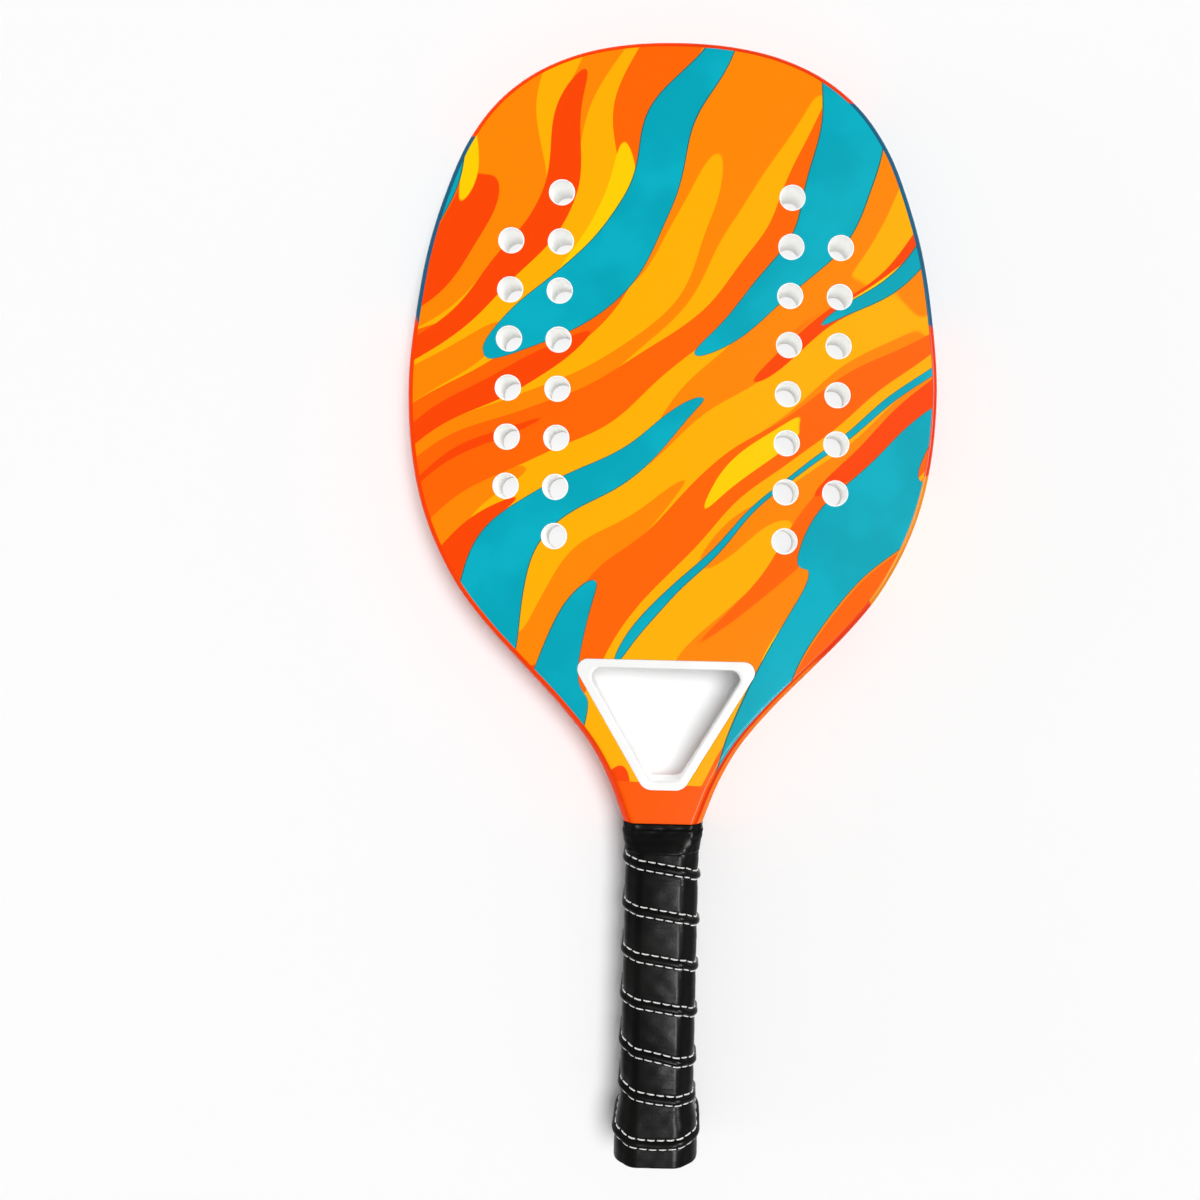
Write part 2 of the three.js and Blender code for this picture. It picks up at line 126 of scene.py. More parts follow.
# Holes, with a flat margin round each one, and the foam's bores in them
HOLE_CENTRE_Y = 100.2
ROW_PITCH = 21
INNER_COLUMN_X = 49.3
OUTER_COLUMN_X = 70.5
INNER_ROWS = 8
OUTER_ROWS = 6
HOLE_RADIUS = 5.65
HOLE_ROUND = 0.22
HOLE_ROUND_STEPS = 5
HOLE_MARGIN = 2.4 * HOLE_ROUND
HOLE_STEPS = 48
BORE_RADIUS = 5.15
BORE_WALL = 0.48
BORE_INSET = 0.15
BORE_ROUND = 0.23
BORE_ROUND_STEPS = 3

# Throat opening, measured on the outer edge of its white lip
THROAT_TOP_Y = -25.3
THROAT_BOTTOM_Y = -81.0
THROAT_TOP_HALF_WIDTH = 41.6
THROAT_BOTTOM_HALF_WIDTH = 8.4
THROAT_TOP_RADIUS = 4.6
THROAT_BOTTOM_RADIUS = 6
THROAT_INNER_TOP_RADIUS = 4
THROAT_INNER_BOTTOM_RADIUS = 5
THROAT_CORNER_STEPS = 14
LIP_WIDTH = 3.9
LIP_DRAFT = 1.5
LIP_ROUND = 0.9
LIP_STEPS = 8
LIP_SEAM = 0.06
LIP_SEAM_ROUND = 0.14

# Handle: an octagon in section, which flares at the butt
SHAFT_HALF_WIDTH = 14
SHAFT_HALF_HEIGHT = 11.6
SHAFT_CUT_X = 5.1
SHAFT_CUT_Z = 4.2
SHAFT_CORNER_RADIUS = 4
CORNER_STEPS = 17
CAP_TOP_Y = -212.3
FLARE_LENGTH = 16
FLARE_DEPTH = 2.15

# Grip winding: its surface over the shells, crowned on the wide facets, puffed between the passes of the
# rib and tucked in at both ends
GRIP_TOP_Y = -106.4
GRIP_END_Y = -239.2
GRIP_FLOOR = 0.35
GRIP_SURFACE = 1.6
GRIP_GIRTH = 90
GRIP_TURNS = 8
GRIP_AROUND = 208
GRIP_ALONG = 330
GRIP_LINING_ROWS = 14
GRIP_END_ROUND = 0.7
GRIP_TOP_ROUND = 0.6
FACET_CROWN = 0.6
CROWN_HALF_WIDTH = 12.3
PUFF_HEIGHT = 0.22
PUFF_START = 0.3
PUFF_END = 4.5
RELIEF_FADE = 1.6

# Slight unevenness of the strap and the collar, from waves round the handle and along it
UNEVEN_WAVES = 28
UNEVEN_FINEST = 14
UNEVEN_STRETCH = 1.3
UNEVEN_CALM = 1.6
STRAP_UNEVEN = 0.06
STRAP_WAVE_LENGTH = 83
STRAP_SEED = 7

# Rib and the stitches beside it
RIB_START_TURN = -0.1
RIB_HALF_WIDTH = 1.75
RIB_HEIGHT = 1.3
RIB_FULLNESS = 0.6
RIB_STEPS = 12
STITCH_ROW = 1.8
STITCH_GROOVE = 0.22
STITCH_GROOVE_WIDTH = 0.55
STITCH_LENGTH = 3.05
STITCH_PITCH = 4.15
STITCH_WIDTH = 0.66
STITCH_BEND = 0.28
STITCH_RISE = 0.16
LOW_STITCH_RISE = 0.28
STITCH_STEPS = 6
THREAD_SIDES = 8

# The rib's path as (turns from the middle of the right side, height): listed one by one near the butt, and
# then at an even pitch, with five steps over the front of each turn
RIB_PITCH = 19.6
RIB_SLOPE = math.atan(RIB_PITCH / GRIP_GIRTH)
RIB_EVEN_Y = -171.9
RIB_EVEN_TURNS = range(3, GRIP_TURNS + 1)
RIB_FRONT_STEPS = ((0.08, -4.3), (0.15, -1.7), (0.25, 0), (0.35, 1.3), (0.42, 2.2))
RIB_LOW_PATH = (
    (RIB_START_TURN, -223),
    (0.08, -227.7),
    (0.25, -229.2),
    (0.35, -228.4),
    (0.42, -226.8),
    (1.08, -212.6),
    (1.25, -210.9),
    (1.35, -209.4),
    (1.42, -207.6),
    (2.08, -196.9),
    (2.25, -193.2),
    (2.35, -191.4),
    (2.42, -189.5),
)

# Collar at the top of the grip
COLLAR_TOP_Y = -95.2
COLLAR_END_Y = -107.4
COLLAR_HALF_WIDTH = 17.5
COLLAR_HALF_HEIGHT = 11.3
COLLAR_TOP_CUT_X = 4.6
COLLAR_TOP_CUT_Z = 4
COLLAR_CORNER_RADIUS = 3
COLLAR_FOLD = 2.4
COLLAR_FOLD_SOFTNESS = 0.25
COLLAR_STEP = 0.5
COLLAR_CREASE_DEPTH = 0.35
COLLAR_CREASE_WIDTH = 0.3
COLLAR_LIP_TUCK = 0.35
COLLAR_LIP_LENGTH = 0.5
COLLAR_TAIL_TUCK = 0.45
COLLAR_TAIL_LENGTH = 0.8
COLLAR_UNEVEN = 0.14
COLLAR_WAVE_LENGTH = 30
COLLAR_SEED = 11
COLLAR_LAP = 0.55
COLLAR_WALL = 0.75
COLLAR_LINING_SINK = 0.9
COLLAR_ROWS = 64
COLLAR_LINING_ROWS = 6

# Butt, and the line on which its flare rests on the floor
CAP_FLOOR = 3
CAP_WALL = 1.7
CAP_RIM_ROUND = 1
CAP_RIM_STEPS = 7
CAP_RIM_GUARD = 1
CAP_SHARP_ANGLE = 50
CAP_FLARE_SHARES = (0, 0.25, 0.5, 1)
BUTT_CONTACT_Y = -233

# The butt's slightly dished end, as (share of the way in, rise)
DISH_STEPS = ((0.12, 0), (0.2, 0.05), (0.28, 0.45), (0.4, 0.6), (0.7, 0.7))


class Form:
    """Vertices and faces of one piece, in millimetres from the racket's mid-plane."""

    def __init__(self):
        self.points = []
        self.faces = []

    def loop(self, points):
        """Adds points of three numbers each, and returns their places."""
        first = len(self.points)
        self.points.extend(tuple(map(float, point)) for point in points)
        return list(range(first, len(self.points)))

    def bridge(self, first, second):
        """Joins two loops of the same count with quads."""
        for place in range(len(first)):
            beside = (place + 1) % len(first)
            self.faces.append((first[place], first[beside], second[beside], second[place]))

    def bridge_all(self, loops, looped=False):
        pairs = list(zip(loops, loops[1:]))
        if looped:
            pairs.append((loops[-1], loops[0]))
        for first, second in pairs:
            self.bridge(first, second)

    def close(self, loop):
        """Closes a loop with a fan from its middle."""
        middle = np.mean([self.points[place] for place in loop], axis=0)
        hub = self.loop([middle])[0]
        for place, beside in zip(loop, loop[1:] + loop[:1]):
            self.faces.append((place, beside, hub))

    def fill(self, loops):
        """Fills the flat area between an outer loop and the holes in it."""
        places = [place for loop in loops for place in loop]
        flat = [Vector(self.points[place][:2]) for place in places]
        edges = []
        first = 0
        for loop in loops:
            edges += [(first + step, first + (step + 1) % len(loop)) for step in range(len(loop))]
            first += len(loop)
        _, _, triangles, origins, _, _ = delaunay_2d_cdt(flat, edges, [], 1, 1e-6)
        holes = [np.array([self.points[place][:2] for place in loop]) for loop in loops[1:]]
        for triangle in triangles:
            corners = tuple(places[origins[corner][0]] for corner in triangle)
            middle = np.mean([self.points[corner][:2] for corner in corners], axis=0)
            if not any(is_inside(middle, hole) for hole in holes):
                self.faces.append(corners)

    def finish(self, name, finish, slot, sharp=None):
        """The piece as an object at the origin, in metres."""
        mesh = bpy.data.meshes.new(name)
        points = [(x * MM, y * MM, (z + MID_Z) * MM) for x, y, z in self.points]
        mesh.from_pydata(points, [], self.faces)
        work = bmesh.new()
        work.from_mesh(mesh)
        bmesh.ops.recalc_face_normals(work, faces=work.faces)
        work.to_mesh(mesh)
        work.free()
        return settle(mesh, name, finish, sharp)


def settle(mesh, name, finish, sharp=None):
    """Puts a mesh into the scene as a piece that rides on the racket."""
    mesh.shade_smooth()
    if sharp:
        mesh.set_sharp_from_angle(angle=math.radians(sharp))
    mesh.materials.clear()
    mesh.materials.append(finish.material)
    piece = bpy.data.objects.new(name, mesh)
    bpy.context.scene.collection.objects.link(piece)
    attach(piece, "root")
    return piece


def is_inside(point, loop):
    """Whether a flat point lies inside a loop that bulges outwards everywhere."""
    along = np.roll(loop, -1, axis=0) - loop
    off = point - loop
    side = along[:, 0] * off[:, 1] - along[:, 1] * off[:, 0]
    return bool(np.all(side >= 0) or np.all(side <= 0))


def smoothstep(low, high, value):
    share = np.clip((np.asarray(value, float) - low) / (high - low), 0, 1)
    return share * share * (3 - 2 * share)


def at_level(points, z):
    return [(x, y, z) for x, y in points]


# Outline


def curve_through(points, steps):
    """A centripetal Catmull-Rom curve through the points, with this many steps between two of them."""
    points = np.asarray(points, float)
    ends = 2 * points[[0, -1]] - points[[1, -2]]
    padded = np.vstack([ends[:1], points, ends[1:]])
    share = np.linspace(0, 1, steps, endpoint=False)[:, None]
    spans = []
    for before, start, stop, after in zip(padded, padded[1:], padded[2:], padded[3:]):
        reach = [math.sqrt(np.linalg.norm(b - a)) for a, b in ((before, start), (start, stop), (stop, after))]
        middle = (stop - start) / reach[1]
        leave = (start - before) / reach[0] - (stop - before) / (reach[0] + reach[1]) + middle
        arrive = middle - (after - start) / (reach[1] + reach[2]) + (after - stop) / reach[2]
        leave, arrive = leave * reach[1], arrive * reach[1]
        square = 3 * (stop - start) - 2 * leave - arrive
        cube = 2 * (start - stop) + leave + arrive
        spans.append(start + leave * share + square * share**2 + cube * share**3)
    return np.vstack([*spans, points[-1:]])


def reach_along(line):
    """The distance along a line at each of its points."""
    return np.concatenate([[0], np.cumsum(np.linalg.norm(np.diff(line, axis=0), axis=1))])


def placed_at(wanted, reach, line):
    """The line's points at these distances along it."""
    return np.column_stack([np.interp(wanted, reach, column) for column in line.T])


def even_steps(line, count):
    """The same line with this many equal steps along its length."""
    reach = reach_along(line)
    return placed_at(np.linspace(0, reach[-1], count + 1), reach, line)


def outline_points():
    """The shape's own points, from the left leg over the crown to the right leg."""
    rise = CROWN_Y - WIDEST_Y
    fall = WIDEST_Y - NECK_Y
    step = HEAD_HALF_WIDTH - NECK_HALF_WIDTH
    taper = NECK_HALF_WIDTH - LEG_HALF_WIDTH
    right = [(HEAD_HALF_WIDTH * across, WIDEST_Y + rise * up) for across, up in CROWN_SHARES]
    right += [(NECK_HALF_WIDTH + step * across, WIDEST_Y - fall * down) for across, down in SHOULDER_SHARES]
    for across, down in LEG_TAPER_SHARES:
        right.append((LEG_HALF_WIDTH + taper * across, NECK_Y - LEG_TAPER_LENGTH * down))
    right.append((LEG_HALF_WIDTH, LEG_END_Y))
    return [(-x, y) for x, y in right[:0:-1]] + right


def frame_outline():
    """Points and inward normals of the frame, from the left of the neck's end over the crown to the right."""
    line = curve_through(outline_points(), CURVE_STEPS)
    line = line[line[:, 1] >= NECK_END_Y]
    line = even_steps(line, OUTLINE_STEPS)
    for _ in range(SMOOTH_PASSES):
        line[1:-1] = (line[:-2] + 2 * line[1:-1] + line[2:]) / 4
    line[[0, -1], 1] = NECK_END_Y
    line = (line + line[::-1] * (-1, 1)) / 2
    tangent = np.gradient(line, axis=0)
    tangent /= np.linalg.norm(tangent, axis=1)[:, None]
    tangent[[0, -1]] = (0, 1), (0, -1)
    return line, np.stack([tangent[:, 1], -tangent[:, 0]], axis=1)


def hole_centres():
    centres = []
    for x, rows in ((INNER_COLUMN_X, INNER_ROWS), (OUTER_COLUMN_X, OUTER_ROWS)):
        for row in range(rows):
            y = HOLE_CENTRE_Y + ROW_PITCH * (row - (rows - 1) / 2)
            centres += [(x, y), (-x, y)]
    return centres


def corner_arc(centre, radius, start, end):
    angles = np.linspace(start, end, THROAT_CORNER_STEPS + 1)
    return [(centre[0] + radius * math.cos(angle), centre[1] + radius * math.sin(angle)) for angle in angles]


def quarter_round(radius, steps):
    """(across, down) over a rounded edge, from its level side to its upright one."""
    angles = np.linspace(0, math.pi / 2, steps)
    return [(radius * math.sin(angle), radius * (1 - math.cos(angle))) for angle in angles]


def with_rear(profile):
    """A profile over the front half, and then the same one back over the rear half."""
    return [*profile, *((across, -height) for across, height in reversed(profile))]


def throat_points(inset, top_radius, bottom_radius):
    """The throat's outline, moved inwards by inset."""
    height = THROAT_TOP_Y - THROAT_BOTTOM_Y
    lean = math.atan2(THROAT_TOP_HALF_WIDTH - THROAT_BOTTOM_HALF_WIDTH, height)

    def corner(y, radius):
        share = (y - THROAT_BOTTOM_Y) / height
        side = THROAT_BOTTOM_HALF_WIDTH + (THROAT_TOP_HALF_WIDTH - THROAT_BOTTOM_HALF_WIDTH) * share
        return side - (inset + radius) / math.cos(lean), y

    bottom = corner(THROAT_BOTTOM_Y + inset + bottom_radius, bottom_radius)
    top = corner(THROAT_TOP_Y - inset - top_radius, top_radius)
    right = corner_arc(bottom, bottom_radius, -math.pi / 2, -lean)
    right += corner_arc(top, top_radius, -lean, math.pi / 2)
    return right + [(-x, y) for x, y in reversed(right)]


def edge_profile(share):
    """(inset, height) of the rounding from the face to the side, for a share from head 0 to neck 1. Both are
    arrays like the share, so a level that is the same everywhere adds 0 * share."""
    width = HEAD_EDGE_WIDTH + (NECK_EDGE_WIDTH - HEAD_EDGE_WIDTH) * share
    depth = HEAD_EDGE_DEPTH + (NECK_EDGE_DEPTH - HEAD_EDGE_DEPTH) * share
    power = HEAD_EDGE_POWER + (NECK_EDGE_POWER - HEAD_EDGE_POWER) * share
    shoulder = HALF_THICKNESS - depth
    levels = [(SIDE_CROWN + width + GUARD, HALF_THICKNESS + 0 * share)]
    for angle in np.linspace(math.pi / 2, 0, EDGE_STEPS):
        across, up = max(math.cos(angle), 0) ** (2 / power), max(math.sin(angle), 0) ** (2 / power)
        levels.append((SIDE_CROWN + width * (1 - across), shoulder + depth * up))
    levels.append((SIDE_CROWN / 4 + 0 * share, shoulder / 2))
    mirrored = [(inset, -height) for inset, height in reversed(levels)]
    return [*levels, (0 * share, 0 * share), *mirrored]


def hole_rims(form):
    """The rounded rims and walls of the holes. Returns each one's rings on the front and the rear face."""
    turns = np.linspace(0, 2 * math.pi, HOLE_STEPS, endpoint=False)
    circle = np.column_stack([np.cos(turns), np.sin(turns)])
    rim = [(HOLE_MARGIN, 0)]
    rim += [(HOLE_ROUND - across, down) for across, down in quarter_round(HOLE_ROUND, HOLE_ROUND_STEPS)]
    wall = with_rear([(HOLE_RADIUS + out, HALF_THICKNESS - down) for out, down in rim])
    edges = []
    for centre in hole_centres():
        rings = [form.loop(at_level(circle * radius + centre, height)) for radius, height in wall]
        form.bridge_all(rings)
        edges.append((rings[0], rings[-1]))
    return edges


def throat_rim(form):
    """The edges of both faces and the wall behind the throat's lining. Returns the rings on both faces."""
    seam = LIP_SEAM_ROUND / 3
    edge = [(-GUARD, 0), (-LIP_SEAM_ROUND, 0), (-seam, seam), (0, LIP_SEAM_ROUND)]
    rings = []
    for inset, height in with_rear([(inset, HALF_THICKNESS - down) for inset, down in edge]):
        ring = throat_points(inset, THROAT_TOP_RADIUS - inset, THROAT_BOTTOM_RADIUS - inset)
        rings.append(form.loop(at_level(ring, height)))
    form.bridge_all(rings)
    return rings[0], rings[-1]


def frame_leg(form, side):
    """One leg of the frame inside the handle, bevelled to the room in its shells."""
    outer, inner = LEG_HALF_WIDTH - LEG_PLAY, LEG_HALF_WIDTH - TUBE_WIDTH
    bevel_x, bevel_z = outer - LEG_BEVEL, LEG_HALF_HEIGHT - LEG_BEVEL
    section = with_rear([(inner, LEG_HALF_HEIGHT), (bevel_x, LEG_HALF_HEIGHT), (outer, bevel_z)])
    loops = [form.loop([(side * x, y, z) for x, z in section]) for y in (NECK_END_Y + SEAT_GAP, LEG_END_Y)]
    form.bridge_all(loops)
    for loop in loops:
        form.close(loop)


def frame_shell(finish):
    """The lacquered body: both faces, the rounded edge and side, the drilled holes and the legs."""
    form = Form()
    line, inward = frame_outline()
    profile = edge_profile(smoothstep(EDGE_CHANGE_HIGH_Y, EDGE_CHANGE_LOW_Y, line[:, 1]))
    loops = []
    for inset, height in profile:
        ring = line + inward * inset[:, None]
        ring[[0, -1], 1] = NECK_END_Y
        loops.append(form.loop(np.column_stack([ring, height])))
    form.bridge_all(loops)
    edges = [(loops[0], loops[-1]), *hole_rims(form), throat_rim(form)]
    for face in zip(*edges):
        form.fill(face)
    for side in (-1, 1):
        frame_leg(form, side)
    shell = form.finish("frame_shell", finish, "face_laminate")
    insets = np.full(len(form.points), INNER_INSET)
    for loop, (inset, _) in zip(loops, profile):
        insets[loop] = inset
    shell.data.attributes.new("edge_inset", "FLOAT", "POINT").data.foreach_set("value", insets)
    return shell


def lip_section(width):
    """(inset, height) over half of the throat's lining, from its outer edge over the lip to its wall."""
    section = [(LIP_SEAM, HALF_THICKNESS - LIP_SEAM_ROUND)]
    section.append((LIP_SEAM + LIP_SEAM_ROUND / 3, HALF_THICKNESS - LIP_SEAM_ROUND / 3))
    section.append((LIP_SEAM + LIP_SEAM_ROUND, HALF_THICKNESS))
    section.append((LIP_SEAM + 2 * LIP_SEAM_ROUND, HALF_THICKNESS))
    start = width - LIP_ROUND
    section.append((start - LIP_SEAM_ROUND, HALF_THICKNESS))
    for across, down in quarter_round(LIP_ROUND, LIP_STEPS):
        section.append((start + across, HALF_THICKNESS - down))
    return section


def throat_trim(finish):
    """The white ring that lines the throat opening from face to face."""
    form = Form()
    front = lip_section(LIP_WIDTH)
    rear = [(inset, -height) for inset, height in reversed(lip_section(LIP_WIDTH - LIP_DRAFT))]
    whole = front + [(LIP_WIDTH - LIP_DRAFT / 2, 0)] + rear
    loops = []
    for inset, height in whole:
        share = inset / LIP_WIDTH
        top = THROAT_TOP_RADIUS + (THROAT_INNER_TOP_RADIUS - THROAT_TOP_RADIUS) * share
        bottom = THROAT_BOTTOM_RADIUS + (THROAT_INNER_BOTTOM_RADIUS - THROAT_BOTTOM_RADIUS) * share
        loops.append(form.loop(at_level(throat_points(inset, top, bottom), height)))
    form.bridge_all(loops, looped=True)
    return form.finish("throat_trim", finish, "throat_liner")


# Handle sections


def flare_at(y):
    return FLARE_DEPTH * smoothstep(CAP_TOP_Y, CAP_TOP_Y - FLARE_LENGTH, y)


def octagon_corners(half_width, half_height, cut_x, cut_z):
    """Corners of an octagon, from the right over the front."""
    quarter = [(half_width, half_height - cut_z), (half_width - cut_x, half_height)]
    corners = quarter + [(-x, z) for x, z in reversed(quarter)]
    return np.array(corners + [(-x, -z) for x, z in corners])


def round_octagon(half_width, half_height, cut_x, cut_z, radius):
    """Points (x, z) and outward normals round a rounded octagon at equal steps, from the middle of the right
    side over the front."""
    corners = octagon_corners(half_width, half_height, cut_x, cut_z)
    ahead = np.roll(corners, -1, axis=0)
    along = (ahead - corners) / np.linalg.norm(ahead - corners, axis=1)[:, None]
    outward = np.column_stack([along[:, 1], -along[:, 0]])
    points, normals = [], []
    for facet in range(-1, len(corners) - 1):
        leave, meet = outward[facet], outward[facet + 1]
        turn_from = math.atan2(leave[1], leave[0])
        turn_by = math.atan2(leave[0] * meet[1] - leave[1] * meet[0], leave @ meet)
        hub = corners[facet + 1] - radius * (leave + meet) / (1 + leave @ meet)
        for angle in np.linspace(turn_from, turn_from + turn_by, CORNER_STEPS):
            normal = np.array((math.cos(angle), math.sin(angle)))
            points.append(hub + radius * normal)
            normals.append(normal)
    start = (points[0] + points[-1]) / 2
    start[1] = 0
    line = np.vstack([start, points, start])
    facing = np.vstack([(1, 0), normals, (1, 0)])
    reach = reach_along(line)
    wanted = np.arange(GRIP_AROUND) / GRIP_AROUND * reach[-1]
    placed, faced = placed_at(wanted, reach, line), placed_at(wanted, reach, facing)
    return placed, faced / np.linalg.norm(faced, axis=1)[:, None]


HANDLE_RING, HANDLE_FACING = round_octagon(
    SHAFT_HALF_WIDTH, SHAFT_HALF_HEIGHT, SHAFT_CUT_X, SHAFT_CUT_Z, SHAFT_CORNER_RADIUS
)
TURNS = np.arange(GRIP_AROUND) / GRIP_AROUND
FRONT_CROWN = np.clip(1 - (HANDLE_RING[:, 0] / CROWN_HALF_WIDTH) ** 2, 0, 1) * HANDLE_FACING[:, 1] ** 4


def ring_at(ring, y):
    """A ring of (x, z) as points at this height along the racket."""
    return np.column_stack([ring[:, 0], np.full(GRIP_AROUND, y), ring[:, 1]])


def handle_ring(y, offset):
    """Points round the handle at y, this far outside its shells."""
    offset = np.zeros(GRIP_AROUND) + offset + flare_at(y)
    return ring_at(HANDLE_RING + HANDLE_FACING * offset[:, None], y)


def strap_surface(y):
    """How far outside the shells the plain strap lies: crowned on its wide facets, but not on the flare."""
    return GRIP_SURFACE + FACET_CROWN * FRONT_CROWN * (1 - flare_at(y) / FLARE_DEPTH)


def rib_path():
    """The rib's middle line on the unrolled handle, as (distance round it, height)."""
    points = list(RIB_LOW_PATH)
    for whole in RIB_EVEN_TURNS:
        front_y = RIB_EVEN_Y + RIB_PITCH * (whole - RIB_EVEN_TURNS[0])
        points += [(whole + turn, front_y + step) for turn, step in RIB_FRONT_STEPS]
    return curve_through([(turn * GRIP_GIRTH, y) for turn, y in points], RIB_STEPS)


RIB_PATH = rib_path()


def rib_y(turn):
    """Where the rib passes after this many turns from the butt."""
    return np.interp(np.asarray(turn) * GRIP_GIRTH, RIB_PATH[:, 0], RIB_PATH[:, 1])


def soft_noise(around, along, seed):
    """A smooth even unevenness, mostly from -1 to 1, that closes on itself round the handle."""
    dice = np.random.default_rng(seed)
    total = np.zeros(np.broadcast(around, along).shape)
    for _ in range(UNEVEN_WAVES):
        turns = dice.integers(-UNEVEN_FINEST, UNEVEN_FINEST + 1)
        climbs = dice.uniform(-UNEVEN_FINEST, UNEVEN_FINEST) / UNEVEN_STRETCH
        total += np.sin(2 * math.pi * (turns * around + climbs * along) + dice.uniform(0, 2 * math.pi))
    return total / math.sqrt(UNEVEN_WAVES) / UNEVEN_CALM


def rib_distance(turn, y):
    """Distance across the rib from its nearest pass, over 0 above that pass and under 0 below it."""
    nearest = np.full(np.broadcast(turn, y).shape, np.inf)
    for whole in range(-1, GRIP_TURNS + 1):
        counted = turn + whole
        passes = (y - rib_y(counted)) * math.cos(RIB_SLOPE)
        passes = np.where(counted < RIB_START_TURN, np.inf, passes)
        nearest = np.where(np.abs(passes) < np.abs(nearest), passes, nearest)
    return nearest


def winding_relief(turn, y):
    """How far the strap's surface stands above the plain strap."""
    across = rib_distance(turn, y)
    rib = np.clip(1 - (across / RIB_HALF_WIDTH) ** 2, 0, 1) ** RIB_FULLNESS
    groove = np.exp(-(((np.abs(across) - STITCH_ROW) / STITCH_GROOVE_WIDTH) ** 2))
    puff = PUFF_HEIGHT * smoothstep(STITCH_ROW + PUFF_START, STITCH_ROW + PUFF_END, np.abs(across))
    uneven = STRAP_UNEVEN * soft_noise(turn, (y - GRIP_END_Y) / STRAP_WAVE_LENGTH, STRAP_SEED)
    fade = smoothstep(GRIP_TOP_Y, GRIP_TOP_Y - RELIEF_FADE, y)
    relief = RIB_HEIGHT * rib - STITCH_GROOVE * groove + puff
    return relief * fade + uneven


def grip_winding(finish):
    """The wound strap: a soft sleeve with the spiral rib, seams and slight unevenness, flared at the butt."""
    form = Form()
    rows = []
    for y in np.linspace(GRIP_TOP_Y, GRIP_END_Y, GRIP_ALONG):
        from_end = np.clip((y - GRIP_END_Y) / GRIP_END_ROUND, 0, 1)
        from_top = np.clip((GRIP_TOP_Y - y) / GRIP_TOP_ROUND, 0, 1)
        tuck = GRIP_END_ROUND * (1 - math.sqrt(1 - (1 - from_end) ** 2))
        tuck += GRIP_TOP_ROUND * (1 - from_top) ** 2
        ring = handle_ring(y, strap_surface(y) + winding_relief(TURNS, y) - tuck)
        ring[:, 2] = np.maximum(ring[:, 2], GROUND_Z)
        rows.append(form.loop(ring))
    for y in np.linspace(GRIP_END_Y, GRIP_TOP_Y, GRIP_LINING_ROWS):
        rows.append(form.loop(handle_ring(y, GRIP_FLOOR)))
    form.bridge_all(rows, looped=True)
    return form.finish("grip_winding", finish, "grip_leather")


def stitch_places():
    """Centres, directions and outward normals of the stitches of both rows beside the rib."""
    centres, leads, outs = [], [], []
    for side, rise in ((-1, LOW_STITCH_RISE), (1, STITCH_RISE)):
        steps = np.arange(math.ceil(RIB_START_TURN * GRIP_AROUND), GRIP_TURNS * GRIP_AROUND)
        levels = rib_y(steps / GRIP_AROUND) + side * STITCH_ROW / math.cos(RIB_SLOPE)
        shown = levels < COLLAR_END_Y - STITCH_WIDTH
        path = []
        for step, y in zip(steps[shown], levels[shown]):
            place = step % GRIP_AROUND
            offset = strap_surface(y)[place] + winding_relief(TURNS[place], y) + flare_at(y) + rise
            x, z = HANDLE_RING[place] + HANDLE_FACING[place] * offset
            path.append((x, y, max(z, GROUND_Z + STITCH_WIDTH), *HANDLE_FACING[place]))
        path = np.array(path)
        line = path[:, :3]
        reach = reach_along(line)
        wanted = np.arange(STITCH_PITCH, reach[-1], STITCH_PITCH)
        at = placed_at(wanted, reach, path)
        centres.append(at[:, :3])
        ahead = placed_at(wanted + STITCH_WIDTH, reach, line)
        behind = placed_at(wanted - STITCH_WIDTH, reach, line)
        leads.append(ahead - behind)
        outs.append(np.column_stack([at[:, 3], np.zeros(len(at)), at[:, 4]]))
    return np.vstack(centres), np.vstack(leads), np.vstack(outs)


def grip_stitches(finish):
    """Two dashed rows of thread: one bent stitch, placed along the rib by Geometry Nodes."""
    centres, leads, outs = stitch_places()
    mesh = bpy.data.meshes.new("stitch_places")
    mesh.from_pydata([tuple(point * MM + (0, 0, MID_Z * MM)) for point in centres], [], [])
    for name, values in (("lead", leads), ("out", outs)):
        layer = mesh.attributes.new(name, "FLOAT_VECTOR", "POINT")
        layer.data.foreach_set("vector", values.ravel())
    growth = Growth("stitch_rows", Length=STITCH_LENGTH * MM, Width=STITCH_WIDTH * MM, Bend=STITCH_BEND * MM)
    half = growth.given("Length") / 2
    bend = growth.given("Bend")
    width = growth.given("Width")
    ends = [growth.vector(half * side, 0.0, bend * -1) for side in (-1, 1)]
    middle = growth.vector(0.0, 0.0, bend)
    sockets = {"Resolution": STITCH_STEPS, "Start": ends[0], "Middle": middle, "End": ends[1]}
    spine = growth.node("GeometryNodeCurveQuadraticBezier", None, sockets)
    sockets = {"Resolution": THREAD_SIDES, "Radius": width / 2}
    thread = growth.node("GeometryNodeCurvePrimitiveCircle", {"mode": "RADIUS"}, sockets)
    sockets = {"Curve": spine, "Profile Curve": thread, "Fill Caps": True}
    stitch = growth.node("GeometryNodeCurveToMesh", None, sockets)
    settings = {"data_type": "FLOAT_VECTOR"}
    lead = growth.node("GeometryNodeInputNamedAttribute", settings, {"Name": "lead"})
    out = growth.node("GeometryNodeInputNamedAttribute", settings, {"Name": "out"})
    settings = {"primary_axis": "X", "secondary_axis": "Z"}
    sockets = {"Primary Axis": lead, "Secondary Axis": out}
    turned = growth.node("FunctionNodeAxesToRotation", settings, sockets)
    sockets = {"Points": growth.given("Geometry"), "Instance": stitch, "Rotation": turned}
    rows = growth.node("GeometryNodeInstanceOnPoints", None, sockets)
    return growth.make("grip_stitches", mesh, rows, finish, "grip_leather")


